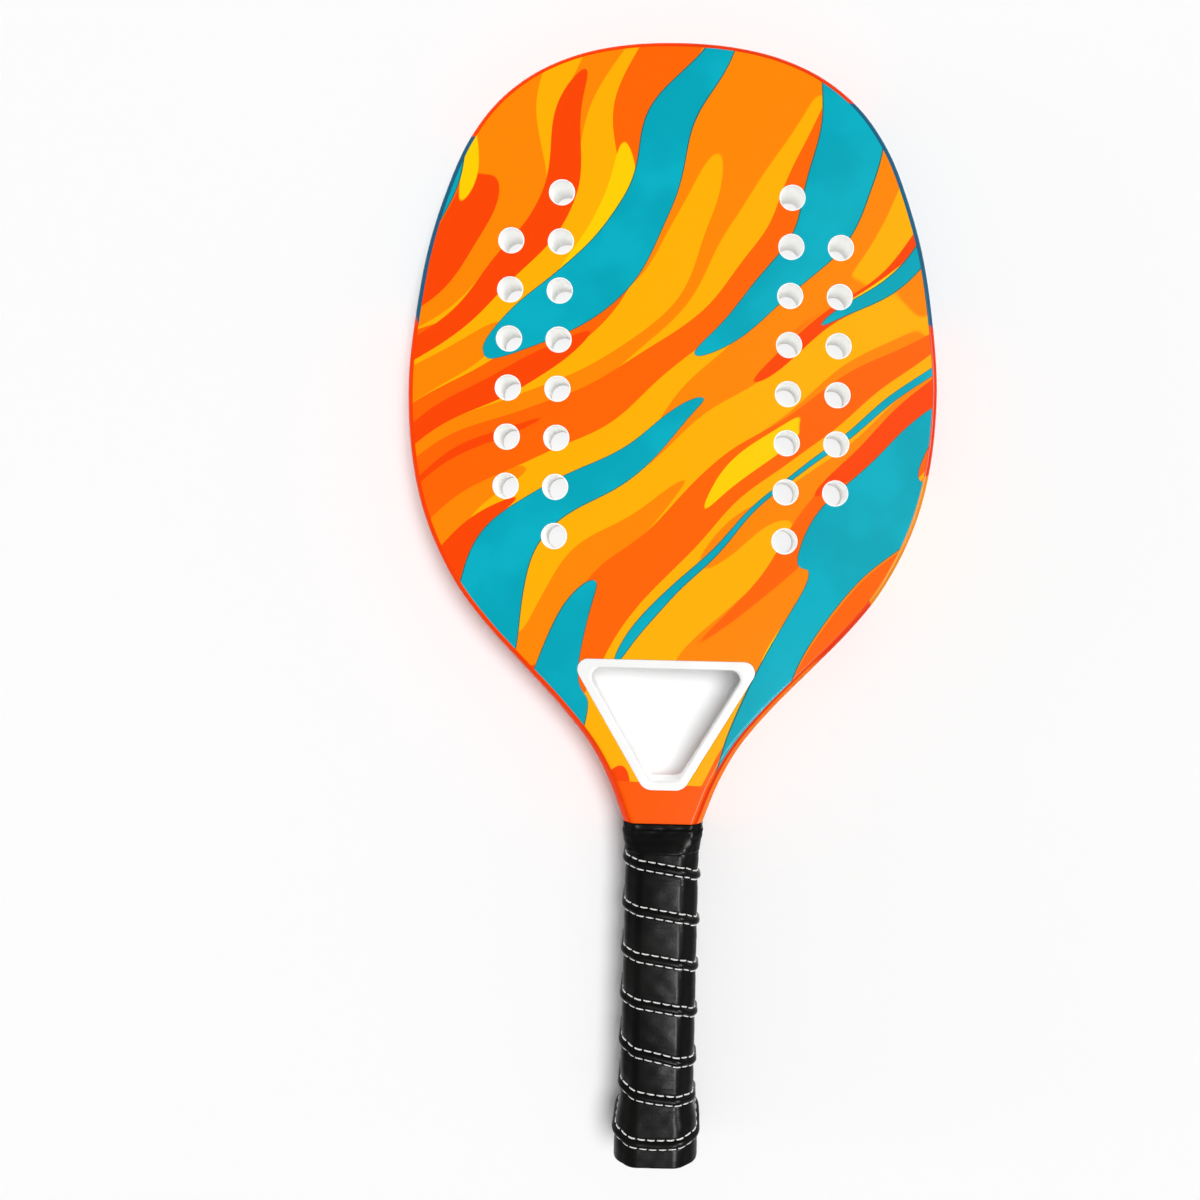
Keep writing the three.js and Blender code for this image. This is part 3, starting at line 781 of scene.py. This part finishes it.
def bore_linings(finish):
    """The white walls of the drilled holes: one sleeve on every hole of the four columns."""
    lining_depth = HALF_THICKNESS - BORE_INSET
    growth = Growth(
        "hole_pattern",
        Bore_Radius=BORE_RADIUS * MM,
        Wall=BORE_WALL * MM,
        Depth=2 * lining_depth * MM,
        Rounding=BORE_ROUND * MM,
        Row_Pitch=ROW_PITCH * MM,
        Centre_Y=HOLE_CENTRE_Y * MM,
        Mid_Z=MID_Z * MM,
        Inner_Column=INNER_COLUMN_X * MM,
        Outer_Column=OUTER_COLUMN_X * MM,
        Inner_Rows=INNER_ROWS,
        Outer_Rows=OUTER_ROWS,
    )
    wall, pitch = growth.given("Wall"), growth.given("Row Pitch")
    circle = {"Resolution": HOLE_STEPS, "Radius": growth.given("Bore Radius") + wall / 2}
    ring = growth.node("GeometryNodeCurvePrimitiveCircle", {"mode": "RADIUS"}, circle)
    section = growth.node(
        "GeometryNodeCurvePrimitiveQuadrilateral", {"mode": "RECTANGLE"}, {0: wall, 1: growth.given("Depth")}
    )
    sockets = {"Curve": section, "Count": BORE_ROUND_STEPS, "Radius": growth.given("Rounding")}
    section = growth.node("GeometryNodeFilletCurve", {"mode": "POLY"}, sockets)
    sleeve = growth.node("GeometryNodeCurveToMesh", None, {"Curve": ring, "Profile Curve": section})
    columns = []
    for side in (-1, 1):
        for name in ("Inner", "Outer"):
            rows = growth.given(f"{name} Rows")
            low_y = growth.given("Centre Y") - pitch * (rows - 1) / 2
            start = growth.vector(growth.given(f"{name} Column") * side, low_y, growth.given("Mid Z"))
            sockets = {"Count": rows, "Start Location": start, "Offset": growth.vector(0.0, pitch, 0.0)}
            columns.append(growth.node("GeometryNodeMeshLine", {"mode": "OFFSET"}, sockets))
    points = growth.node("GeometryNodeJoinGeometry", None, {"Geometry": columns})
    linings = growth.node("GeometryNodeInstanceOnPoints", None, {"Points": points, "Instance": sleeve})
    return growth.make("bore_linings", bpy.data.meshes.new("hole_places"), linings, finish, "core_foam")


def grip_collar(finish):
    """The finishing band: it grips the neck, folds once near its top and steps down on to the strap."""
    form = Form()
    top_ring, _ = round_octagon(
        COLLAR_HALF_WIDTH, COLLAR_HALF_HEIGHT, COLLAR_TOP_CUT_X, COLLAR_TOP_CUT_Z, COLLAR_CORNER_RADIUS
    )
    fold_y = COLLAR_TOP_Y - COLLAR_FOLD
    rows = []
    for y in np.linspace(COLLAR_TOP_Y, COLLAR_END_Y, COLLAR_ROWS):
        low_ring = HANDLE_RING + HANDLE_FACING * (strap_surface(y) + COLLAR_LAP)[:, None]
        ring = top_ring + (low_ring - top_ring) * smoothstep(fold_y, COLLAR_END_Y, y)
        fold = COLLAR_STEP * smoothstep(fold_y + COLLAR_FOLD_SOFTNESS, fold_y - COLLAR_FOLD_SOFTNESS, y)
        crease = COLLAR_CREASE_DEPTH * np.exp(-(((y - fold_y) / COLLAR_CREASE_WIDTH) ** 2))
        wrinkle = COLLAR_UNEVEN * soft_noise(TURNS, (y - COLLAR_END_Y) / COLLAR_WAVE_LENGTH, COLLAR_SEED)
        lip = COLLAR_LIP_TUCK * np.clip(1 - (COLLAR_TOP_Y - y) / COLLAR_LIP_LENGTH, 0, 1) ** 2
        tail = COLLAR_TAIL_TUCK * np.clip(1 - (y - COLLAR_END_Y) / COLLAR_TAIL_LENGTH, 0, 1) ** 2
        ring = ring + HANDLE_FACING * (fold - crease + wrinkle - lip - tail - COLLAR_STEP)[:, None]
        rows.append(form.loop(ring_at(ring, y)))
    low_ring = HANDLE_RING + HANDLE_FACING * (GRIP_SURFACE - COLLAR_LINING_SINK)
    high_ring = top_ring - HANDLE_FACING * (COLLAR_STEP + COLLAR_WALL)
    for y in np.linspace(COLLAR_END_Y, COLLAR_TOP_Y, COLLAR_LINING_ROWS):
        share = smoothstep(fold_y, COLLAR_END_Y, y)
        rows.append(form.loop(ring_at(high_ring * (1 - share) + low_ring * share, y)))
    form.bridge_all(rows, looped=True)
    return form.finish("grip_collar_band", finish, "collar_tape")


def butt_cover(finish):
    """The moulded butt: walls under the strap, a rounded rim and a slightly dished end."""
    form = Form()
    outer = [(CAP_TOP_Y - FLARE_LENGTH * share, 0) for share in CAP_FLARE_SHARES]
    outer.append((BUTT_Y + CAP_RIM_ROUND + CAP_RIM_GUARD, 0))
    for along, sink in quarter_round(CAP_RIM_ROUND, CAP_RIM_STEPS):
        outer.append((BUTT_Y + CAP_RIM_ROUND - along, -sink))
    rows = [form.loop(handle_ring(y, offset)) for y, offset in [(CAP_TOP_Y, -CAP_WALL), *outer]]
    end = handle_ring(BUTT_Y, -CAP_RIM_ROUND)
    for inset, rise in DISH_STEPS:
        rows.append(form.loop(end * (1 - inset, 1, 1 - inset) + (0, rise, 0)))
    pocket = form.loop(handle_ring(BUTT_Y + CAP_FLOOR, -CAP_WALL - FLARE_DEPTH))
    form.bridge(pocket, rows[0])
    form.bridge_all(rows)
    form.close(rows[-1])
    form.close(pocket)
    return form.finish("butt_cover", finish, "butt_plastic", sharp=CAP_SHARP_ANGLE)


# Materials


class Field:
    """A value that varies over a surface or a shape: a socket with the usual arithmetic."""

    def __init__(self, nodes, socket):
        self.nodes = nodes
        self.socket = socket

    def _math(self, operation, *values):
        return self.nodes.node("ShaderNodeMath", {"operation": operation}, dict(enumerate(values)))

    def __add__(self, other):
        return self._math("ADD", self, other)

    def __radd__(self, other):
        return self._math("ADD", other, self)

    def __sub__(self, other):
        return self._math("SUBTRACT", self, other)

    def __rsub__(self, other):
        return self._math("SUBTRACT", other, self)

    def __mul__(self, other):
        return self._math("MULTIPLY", self, other)

    def __rmul__(self, other):
        return self._math("MULTIPLY", other, self)

    def __truediv__(self, other):
        return self._math("DIVIDE", self, other)

    def __rtruediv__(self, other):
        return self._math("DIVIDE", other, self)

    def sine(self):
        return self._math("SINE", self)

    def size(self):
        return self._math("ABSOLUTE", self)

    def at_least(self, other):
        return self._math("MAXIMUM", self, other)

    def ramp(self, low, high):
        """0 up to low and 1 from high on, or the other way round where high is the lower."""
        sockets = {0: self, 1: low, 2: high}
        if low > high:
            sockets = {0: self, 1: high, 2: low, 3: 1.0, 4: 0.0}
        return self.nodes.node("ShaderNodeMapRange", {"interpolation_type": "SMOOTHSTEP"}, sockets)


class Nodes:
    """A node tree that is filled from expressions."""

    def __init__(self, tree):
        self.tree = tree

    def node(self, kind, settings=None, sockets=None, output=0):
        """Any node: its settings first, then its sockets by name or number."""
        made = self.tree.nodes.new(kind)
        for name, value in (settings or {}).items():
            setattr(made, name, value)
        for name, value in (sockets or {}).items():
            self.feed(made.inputs[name], value)
        return Field(self, made.outputs[output])

    def feed(self, socket, value):
        """Links a field to the socket, or each field of a list, or sets the socket's colour or number."""
        if isinstance(value, list):
            for field in value:
                self.feed(socket, field)
        elif isinstance(value, Field):
            self.tree.links.new(value.socket, socket)
        elif socket.type == "RGBA":
            socket.default_value = (*value, 1)
        else:
            socket.default_value = value

    def vector(self, x=0.0, y=0.0, z=0.0):
        return self.node("ShaderNodeCombineXYZ", None, {0: x, 1: y, 2: z})


class Growth(Nodes):
    """A Geometry Nodes tree with named inputs, which makes one piece."""

    def __init__(self, name, **sizes):
        super().__init__(bpy.data.node_groups.new(name, "GeometryNodeTree"))
        face = self.tree.interface
        face.new_socket("Geometry", in_out="OUTPUT", socket_type="NodeSocketGeometry")
        face.new_socket("Geometry", in_out="INPUT", socket_type="NodeSocketGeometry")
        face.new_socket("Finish", in_out="INPUT", socket_type="NodeSocketMaterial")
        self.sizes = {label.replace("_", " "): value for label, value in sizes.items()}
        for label, value in self.sizes.items():
            kind = "NodeSocketInt" if isinstance(value, int) else "NodeSocketFloat"
            face.new_socket(label, in_out="INPUT", socket_type=kind)
        self.entry = self.tree.nodes.new("NodeGroupInput")
        self.exit = self.tree.nodes.new("NodeGroupOutput")

    def given(self, name):
        return Field(self, self.entry.outputs[name])

    def make(self, name, start, shape, finish, slot):
        """Ends the tree, runs it on the starting mesh and keeps the result as a plain piece."""
        shape = self.node("GeometryNodeRealizeInstances", None, {"Geometry": shape})
        sockets = {"Geometry": shape, "Material": self.given("Finish")}
        self.feed(self.exit.inputs["Geometry"], self.node("GeometryNodeSetMaterial", None, sockets))
        seed = bpy.data.objects.new(name + "_seed", start)
        bpy.context.scene.collection.objects.link(seed)
        modifier = seed.modifiers.new("growth", "NODES")
        modifier.node_group = self.tree
        values = {"Finish": finish.material, **self.sizes}
        for item in self.tree.interface.items_tree:
            if item.in_out == "INPUT" and item.name in values:
                modifier[item.identifier] = values[item.name]
        graph = bpy.context.evaluated_depsgraph_get()
        mesh = bpy.data.meshes.new_from_object(seed.evaluated_get(graph))
        seed.modifiers.remove(modifier)
        bpy.data.objects.remove(seed)
        return settle(mesh, name, finish)


# The middle value of noise, and how far two shades of one colour spread over it on either side
NOISE_MIDDLE = 0.5
SOFT_SPREAD = 0.2
FIRM_SPREAD = 0.15


class Finish(Nodes):
    """One material's nodes, on a Principled shader."""

    def __init__(self, name, **constants):
        self.material = bpy.data.materials.new(name)
        self.material.use_nodes = True
        super().__init__(self.material.node_tree)
        self.shader = self.tree.nodes["Principled BSDF"]
        self.dress(**constants)

    def dress(self, **values):
        """Sets or links the shader's sockets, by their names with _ for a space."""
        for name, value in values.items():
            self.feed(self.shader.inputs[name.replace("_", " ")], value)

    def place(self):
        """Object coordinates."""
        return self.node("ShaderNodeTexCoord", output="Object")

    def axes(self, vector):
        return [self.node("ShaderNodeSeparateXYZ", None, {0: vector}, axis) for axis in ("X", "Y", "Z")]

    def noise(self, vector, scale, detail, roughness=0.5):
        sockets = {"Vector": vector, "Scale": scale, "Detail": detail, "Roughness": roughness}
        return self.node("ShaderNodeTexNoise", {"noise_dimensions": "3D"}, sockets)

    def mix(self, share, first, second):
        """A mix of two colours, whose sockets go by number because their names stand for other kinds too."""
        return self.node("ShaderNodeMix", {"data_type": "RGBA"}, {0: share, 6: first, 7: second}, 2)

    def speckled(self, grain, spread, first, second):
        """Two shades of one colour, mixed by noise."""
        return self.mix(grain.ramp(NOISE_MIDDLE - spread, NOISE_MIDDLE + spread), first, second)

    def relief(self, height, distance, strength):
        sockets = {"Height": height, "Distance": distance, "Strength": strength}
        self.dress(Normal=self.node("ShaderNodeBump", None, sockets, "Normal"))


def hex_colour(text):
    """A paint's colour, written as it shows, as the linear numbers that a shader takes."""
    shown = [int(text[place : place + 2], 16) / 255 for place in (0, 2, 4)]
    return tuple(((value + 0.055) / 1.055) ** 2.4 if value > 0.04045 else value / 12.92 for value in shown)


# Colours of the print and the side
AMBER = hex_colour("FFB200")
YELLOW = hex_colour("FFD000")
ORANGE = hex_colour("FF8800")
DEEP_ORANGE = hex_colour("FF6600")
RED_ORANGE = hex_colour("FC4700")
NECK_ORANGE = hex_colour("FF5C00")
TURQUOISE = hex_colour("00A6BA")
PALE_TURQUOISE = hex_colour("04B1C5")
TEAL_LINE = hex_colour("1E6A5E")
# Painted light: the side's red is lighter on the left, where the side lies in shade, than on the right
SIDE_RED_LEFT_PAINTED_LIGHT = hex_colour("FF4200")
SIDE_RED_RIGHT = hex_colour("EC3A08")
SIDE_TEAL = hex_colour("1F5F80")
SIDE_AMBER = hex_colour("F09010")
SIDE_ORANGE = hex_colour("FF7A10")

# Colours of the rest
LIP_WHITE = hex_colour("FCFCFC")
LIP_SHADE = hex_colour("F7F7F6")
BORE_WHITE = hex_colour("FCFCFB")
BORE_SHADE = hex_colour("F6F6F4")
# Painted light: the grey glow at the rear of the holes' walls
REAR_PAINTED_LIGHT = hex_colour("A0A09E")
# Painted light: no glow on the throat's lining away from its low wall
NO_PAINTED_LIGHT = hex_colour("000000")
THREAD_WHITE = hex_colour("FAFAF8")
THREAD_SHADE = hex_colour("DADAD8")
LEATHER_BLACK = hex_colour("080808")
LEATHER_WORN = hex_colour("0F0F0E")
BUTT_BLACK = hex_colour("161616")
FILLER_FOAM = hex_colour("A89F88")
SHELL_GREY = hex_colour("3A3A3A")
FLOOR_WHITE = hex_colour("FDFDFD")
FLOOR_SHADE = hex_colour("FBFBFB")

# The print, in metres: the slant of its bands, their sways as (waves, start, reach), and how far noise
# drifts them
BAND_SLANT = (0.82, 0.57)
BAND_SWAYS = ((30, 0.7, 0.012), (15, 2.1, 0.018))
DRIFT_SCALE = 9.0
DRIFT_ACROSS = 0.05
DRIFT_ALONG = 0.03

# Tongues of colour along the bands, as (seed, shortness, slimness), then the noise at which they start and
# are full
WARM_TONGUES = (
    (3.1, 7, 44, 0.492, 0.497, AMBER),
    (8.4, 6.5, 40, 0.566, 0.571, DEEP_ORANGE),
    (12.7, 8, 46, 0.322, 0.317, RED_ORANGE),
    (33.3, 9, 52, 0.745, 0.75, YELLOW),
)
SEA_TONGUES = (21.9, 6, 36)
SEA_SHORE = (0.604, 0.606)
SEA_LINE = 0.0004
WATER_SCALE = 26.0
WATER_LEVELS = (0.4, 0.62)

# Where the neck under the throat turns plain
PLAIN_NECK_Y = -77
NECK_EDGE_SWAY = 12
NECK_EDGE_SOFTNESS = 0.4

# The side band: its widths on the face, its noise as (shortness across, shortness along, seed), its
# stretches of other colours, and the orange on its lower right
HEAD_BAND_WIDTH = 2.9
NECK_BAND_WIDTH = 3.8
BAND_EDGE_SOFTNESS = 0.1
SIDE_CHANGE = 0.01
SIDE_NOISE = (6, 9, 4.4)
SIDE_STRETCHES = ((0.585, 0.59, SIDE_TEAL), (0.38, 0.375, SIDE_AMBER))
OUTER_BAND_WIDTH = 2.3
OUTER_BAND_TOP_Y = -20
OUTER_BAND_FADE = 10
OUTER_BAND_START = 0.002

# Painted light: the slight glow of the throat's low wall, down from the face and up from the bottom
LIP_PAINTED_LIGHT_STEPS = (0.3, 1.2)
LOW_WALL_PAINTED_LIGHT_STEPS = (11, 6)

# Leather, with the scales of its creases along X, Y and Z, and how much lighter a moulding's second shade is
LEATHER_CREASES = (60, 480, 60)
LEATHER_GRAIN_SHARE = 0.35
LEATHER_ROUGHNESS = 0.26
LEATHER_ROUGHNESS_RISE = 0.06
MOULDING_LIFT = 1.35


def side_paint(finish, x, y, inset):
    """Red round the side, painted lighter on the left against its shade and darker on the right, with
    stretches of teal and amber, and orange outermost on the lower right.
    """
    # Painted light: the red is lighter on the left side, which is in shade, and darker on the right
    side = finish.mix(x.ramp(-SIDE_CHANGE, SIDE_CHANGE), SIDE_RED_LEFT_PAINTED_LIGHT, SIDE_RED_RIGHT)
    across, along, seed = SIDE_NOISE
    stretch = finish.noise(finish.vector(x * across, y * along, seed), scale=1.0, detail=1.0)
    for start, full, paint in SIDE_STRETCHES:
        side = finish.mix(stretch.ramp(start, full), side, paint)
    outer = inset.ramp(OUTER_BAND_WIDTH + BAND_EDGE_SOFTNESS, OUTER_BAND_WIDTH)
    low = (y * METRE).ramp(OUTER_BAND_TOP_Y, OUTER_BAND_TOP_Y - OUTER_BAND_FADE)
    return finish.mix(outer * x.ramp(0, OUTER_BAND_START) * low, side, SIDE_ORANGE)


def printed_lacquer():
    """Long wavy bands of warm colours and turquoise under clear lacquer, with a red band round the side."""
    finish = Finish(
        "printed_lacquer", Roughness=0.24, Specular_IOR_Level=0.1, Coat_Weight=0.03, Coat_Roughness=0.08
    )
    x, y, _ = finish.axes(finish.place())
    flat = finish.vector(x, y)
    drift = finish.noise(flat, scale=DRIFT_SCALE, detail=1.0) - NOISE_MIDDLE
    short_sway, long_sway = [(y * waves + start).sine() * reach for waves, start, reach in BAND_SWAYS]
    slant_x, slant_y = BAND_SLANT
    across = x * slant_x - y * slant_y + (short_sway + long_sway) + drift * DRIFT_ACROSS
    along = x * slant_y + y * slant_x + drift * DRIFT_ALONG

    def tongues(seed, shortness, slimness, shift=0.0):
        drawn_out = finish.vector(along * shortness, (across + shift) * slimness, seed)
        return finish.noise(drawn_out, scale=1.0, detail=0.0)

    bands = ORANGE
    for seed, shortness, slimness, start, full, paint in WARM_TONGUES:
        bands = finish.mix(tongues(seed, shortness, slimness).ramp(start, full), bands, paint)
    line = tongues(*SEA_TONGUES, SEA_LINE).at_least(tongues(*SEA_TONGUES, -SEA_LINE))
    bands = finish.mix(line.ramp(*SEA_SHORE), bands, TEAL_LINE)
    depth = finish.noise(flat, scale=WATER_SCALE, detail=3.0)
    water = finish.mix(depth.ramp(*WATER_LEVELS), TURQUOISE, PALE_TURQUOISE)
    bands = finish.mix(tongues(*SEA_TONGUES).ramp(*SEA_SHORE), bands, water)
    neck_y = y * METRE + drift * NECK_EDGE_SWAY
    bands = finish.mix(neck_y.ramp(PLAIN_NECK_Y, PLAIN_NECK_Y - NECK_EDGE_SOFTNESS), bands, NECK_ORANGE)

    inset = finish.node("ShaderNodeAttribute", {"attribute_name": "edge_inset"}, output="Fac")
    neck = (y * METRE).ramp(EDGE_CHANGE_HIGH_Y, EDGE_CHANGE_LOW_Y)
    width = HEAD_BAND_WIDTH + neck * (NECK_BAND_WIDTH - HEAD_BAND_WIDTH)
    band = (width - inset).ramp(0, BAND_EDGE_SOFTNESS)
    finish.dress(Base_Color=finish.mix(band, bands, side_paint(finish, x, y, inset)))
    return finish


def white_moulding():
    """Smooth white, with painted light: a slight glow on the low wall of the throat's front half."""
    finish = Finish("white_moulding", Roughness=0.32, Coat_Weight=0.2, Emission_Strength=0.2)
    haze = finish.noise(finish.place(), scale=60.0, detail=3.0)
    shade = finish.speckled(haze, SOFT_SPREAD, LIP_WHITE, LIP_SHADE)
    _, y, z = finish.axes(finish.place())
    below_face = MID_Z + HALF_THICKNESS - z * METRE
    above_bottom = y * METRE - THROAT_BOTTOM_Y
    # Painted light: the low wall glows with the lining's own white, though it is no lamp
    low_wall_painted_light = below_face.ramp(*LIP_PAINTED_LIGHT_STEPS) * above_bottom.ramp(*LOW_WALL_PAINTED_LIGHT_STEPS)
    finish.dress(Base_Color=shade, Emission_Color=finish.mix(low_wall_painted_light, NO_PAINTED_LIGHT, shade))
    return finish


def drilled_foam():
    """White foam with fine cells, and painted light: a slight glow in the holes that grows from their rear to
    their front.
    """
    finish = Finish("drilled_foam", Roughness=0.75, Specular_IOR_Level=0.2, Emission_Strength=0.21)
    cells = finish.noise(finish.place(), scale=1400.0, detail=2.0)
    shade = finish.speckled(cells, FIRM_SPREAD, BORE_WHITE, BORE_SHADE)
    _, _, z = finish.axes(finish.place())
    # Painted light: the walls glow white near the front and grey at the rear, though they are no lamp
    painted_light_towards_front = (z * METRE).ramp(MID_Z - HALF_THICKNESS, MID_Z + HALF_THICKNESS)
    finish.dress(Base_Color=shade, Emission_Color=finish.mix(painted_light_towards_front, REAR_PAINTED_LIGHT, shade))
    finish.relief(cells, distance=0.0002, strength=0.4)
    return finish


def white_thread():
    finish = Finish("white_thread", Roughness=0.7)
    strands = finish.noise(finish.place(), scale=1800.0, detail=1.0)
    finish.dress(Base_Color=finish.speckled(strands, FIRM_SPREAD, THREAD_SHADE, THREAD_WHITE))
    return finish


def wound_leather():
    """Black synthetic leather with fine grain, creases round the handle and slightly worn patches."""
    finish = Finish("wound_leather", Specular_IOR_Level=0.11)
    place = finish.place()
    patch = finish.noise(place, scale=45.0, detail=2.0)
    finish.dress(Base_Color=finish.speckled(patch, FIRM_SPREAD, LEATHER_BLACK, LEATHER_WORN))
    finish.dress(Roughness=patch * LEATHER_ROUGHNESS_RISE + LEATHER_ROUGHNESS)
    drawn_out = [axis * scale for axis, scale in zip(finish.axes(place), LEATHER_CREASES)]
    crease = finish.noise(finish.vector(*drawn_out), scale=1.0, detail=2.0, roughness=0.6)
    grain = finish.noise(place, scale=900.0, detail=3.0)
    finish.relief(grain * LEATHER_GRAIN_SHARE + crease, distance=0.0003, strength=0.35)
    return finish


def plain_moulding(name, paint, grain_scale):
    """An even moulding or foam with a fine grain."""
    finish = Finish(name, Roughness=0.6)
    grain = finish.noise(finish.place(), grain_scale, detail=3.0)
    lifted = tuple(value * MOULDING_LIFT for value in paint)
    finish.dress(Base_Color=finish.speckled(grain, SOFT_SPREAD, paint, lifted))
    finish.relief(grain, distance=0.0002, strength=0.3)
    return finish


# Stage, with a camera that looks straight down from over CAMERA_FOOT
CAMERA_HEIGHT = 400
CAMERA_FOOT = (8.5, 17.8)
CAMERA_ROLL = math.radians(1.34)
FOCAL_PIXELS = 912.7
IMAGE_PIXELS = 1200
AXIS_PIXEL = (688.6, 560)
SENSOR = 36
NEAR_CLIP = 0.01
WORLD_LEVEL = 0.28
KEY_LEVEL = 0.71
CARD_LEVEL = 0.02

# The floor, and how much of its own white it adds for the camera: a little everywhere, and much more under
# the holes, as painted light where the racket shades the floor
FLOOR_HALF_WIDTH = 3000
FLOOR_LIFT = 0.05
HOLE_FLOOR_PAINTED_LIGHT = 0.8
UNDER_HALF_WIDTH = 22
UNDER_HALF_LENGTH = 86
UNDER_SOFTNESS = 4


def set_camera():
    data = bpy.data.cameras.new("photo_camera")
    camera = bpy.data.objects.new("photo_camera", data)
    bpy.context.scene.collection.objects.link(camera)
    bpy.context.scene.camera = camera
    data.sensor_width = SENSOR
    data.lens = FOCAL_PIXELS / IMAGE_PIXELS * SENSOR
    data.shift_x = (IMAGE_PIXELS / 2 - AXIS_PIXEL[0]) / IMAGE_PIXELS
    data.shift_y = (AXIS_PIXEL[1] - IMAGE_PIXELS / 2) / IMAGE_PIXELS
    data.clip_start = NEAR_CLIP
    camera.location = (CAMERA_FOOT[0] * MM, CAMERA_FOOT[1] * MM, (CAMERA_HEIGHT + MID_Z) * MM)
    camera.rotation_euler = (0, 0, CAMERA_ROLL)


def set_lamp(name, azimuth, zenith, spread, level):
    """A far soft lamp, in degrees from +X and from straight up. Its level is what it adds to white card."""
    data = bpy.data.lights.new(name, "SUN")
    data.angle = math.radians(spread)
    data.energy = level * math.pi / math.cos(math.radians(zenith))
    lamp = bpy.data.objects.new(name, data)
    bpy.context.scene.collection.objects.link(lamp)
    lamp.rotation_euler = (0, math.radians(zenith), math.radians(azimuth))
    lamp.visible_glossy = False


def set_gloss_lamp(name, place, size, power):
    """A level panel, placed in metres, that shows only as a highlight on edges and leather."""
    data = bpy.data.lights.new(name, "AREA")
    data.shape = "RECTANGLE"
    data.size, data.size_y = size
    data.energy = power
    lamp = bpy.data.objects.new(name, data)
    bpy.context.scene.collection.objects.link(lamp)
    lamp.location = place
    lamp.visible_diffuse = False


def set_world():
    """Even pale light from all round, which the camera sees as white."""
    world = bpy.data.worlds.new("studio")
    bpy.context.scene.world = world
    world.use_nodes = True
    studio = Nodes(world.node_tree)
    rays = studio.node("ShaderNodeLightPath", output="Is Camera Ray")
    back = world.node_tree.nodes["Background"]
    studio.feed(back.inputs["Color"], (1, 1, 1))
    studio.feed(back.inputs["Strength"], rays * (1 - WORLD_LEVEL) + WORLD_LEVEL)


def set_floor():
    """A pale floor that the butt and the crown both touch."""
    half = FLOOR_HALF_WIDTH * MM
    low_y, high_y = BUTT_CONTACT_Y * MM, CROWN_Y * MM
    rise = (MID_Z - HALF_THICKNESS) * MM / (high_y - low_y)
    flat = ((-half, -half), (half, -half), (half, half), (-half, half))
    mesh = bpy.data.meshes.new("floor")
    mesh.from_pydata([(x, y, (y - low_y) * rise) for x, y in flat], [], [(0, 1, 2, 3)])
    floor = bpy.data.objects.new("floor", mesh)
    bpy.context.scene.collection.objects.link(floor)
    finish = Finish("pale_floor", Roughness=0.9, Specular_IOR_Level=0.0)
    grain = finish.noise(finish.place(), scale=3.0, detail=2.0)
    finish.dress(Base_Color=finish.mix(grain, FLOOR_WHITE, FLOOR_SHADE))
    x, y, _ = finish.axes(finish.place())
    off_columns = (x.size() * METRE - (INNER_COLUMN_X + OUTER_COLUMN_X) / 2).size()
    off_rows = (y * METRE - HOLE_CENTRE_Y).size()
    # Painted light: under the hole columns the camera sees the floor much whiter than its light makes it
    under = off_columns.ramp(UNDER_HALF_WIDTH, UNDER_HALF_WIDTH - UNDER_SOFTNESS)
    under = under * off_rows.ramp(UNDER_HALF_LENGTH, UNDER_HALF_LENGTH - UNDER_SOFTNESS)
    rays = finish.node("ShaderNodeLightPath", output="Is Camera Ray")
    lift = rays * (under * HOLE_FLOOR_PAINTED_LIGHT + FLOOR_LIFT)
    lit = Field(finish, finish.shader.outputs[0])
    glow = finish.node("ShaderNodeEmission", None, {"Color": FLOOR_WHITE})
    lifted = finish.node("ShaderNodeMixShader", None, {0: lift, 1: lit, 2: glow})
    clear = finish.node("ShaderNodeBsdfTransparent")
    back = finish.node("ShaderNodeNewGeometry", output="Backfacing")
    surface = finish.node("ShaderNodeMixShader", None, {0: back, 1: lifted, 2: clear})
    finish.feed(finish.tree.nodes["Material Output"].inputs["Surface"], surface)
    mesh.materials.append(finish.material)


set_camera()
set_world()
set_floor()
set_lamp("key", azimuth=34, zenith=20, spread=28, level=KEY_LEVEL)
set_lamp("side_card", azimuth=180, zenith=84, spread=20, level=CARD_LEVEL)
set_gloss_lamp("edge_panel", place=(1.0, 0.05, 1.2), size=(0.1, 1.0), power=42)
set_gloss_lamp("grip_panel", place=(0.36, -0.85, 1.5), size=(0.1, 0.9), power=24)

shell = frame_shell(printed_lacquer())
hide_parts("frame_tube", "front_face", "rear_face", "throat_yoke")
trim = throat_trim(white_moulding())
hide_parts("throat_liner_front", "throat_liner_rear")
linings = bore_linings(drilled_foam())
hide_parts("head_core")
leather = wound_leather()
winding = grip_winding(leather)
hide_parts("grip_strap", "grip_rib")
grip_stitches(white_thread())
collar = grip_collar(leather)
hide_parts("grip_collar")
cover = butt_cover(plain_moulding("butt_plastic", BUTT_BLACK, grain_scale=900.0))
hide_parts("butt_cap")

hidden_finishes = {
    "handle_filler": plain_moulding("handle_foam", FILLER_FOAM, grain_scale=300.0),
    "handle_shell_front": plain_moulding("handle_shell", SHELL_GREY, grain_scale=300.0),
    "handle_shell_rear": plain_moulding("handle_shell_rear", SHELL_GREY, grain_scale=300.0),
}
for node, finish in hidden_finishes.items():
    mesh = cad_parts[node].data
    mesh.materials.clear()
    mesh.materials.append(finish.material)

bpy.context.scene.view_settings.view_transform = "Standard"
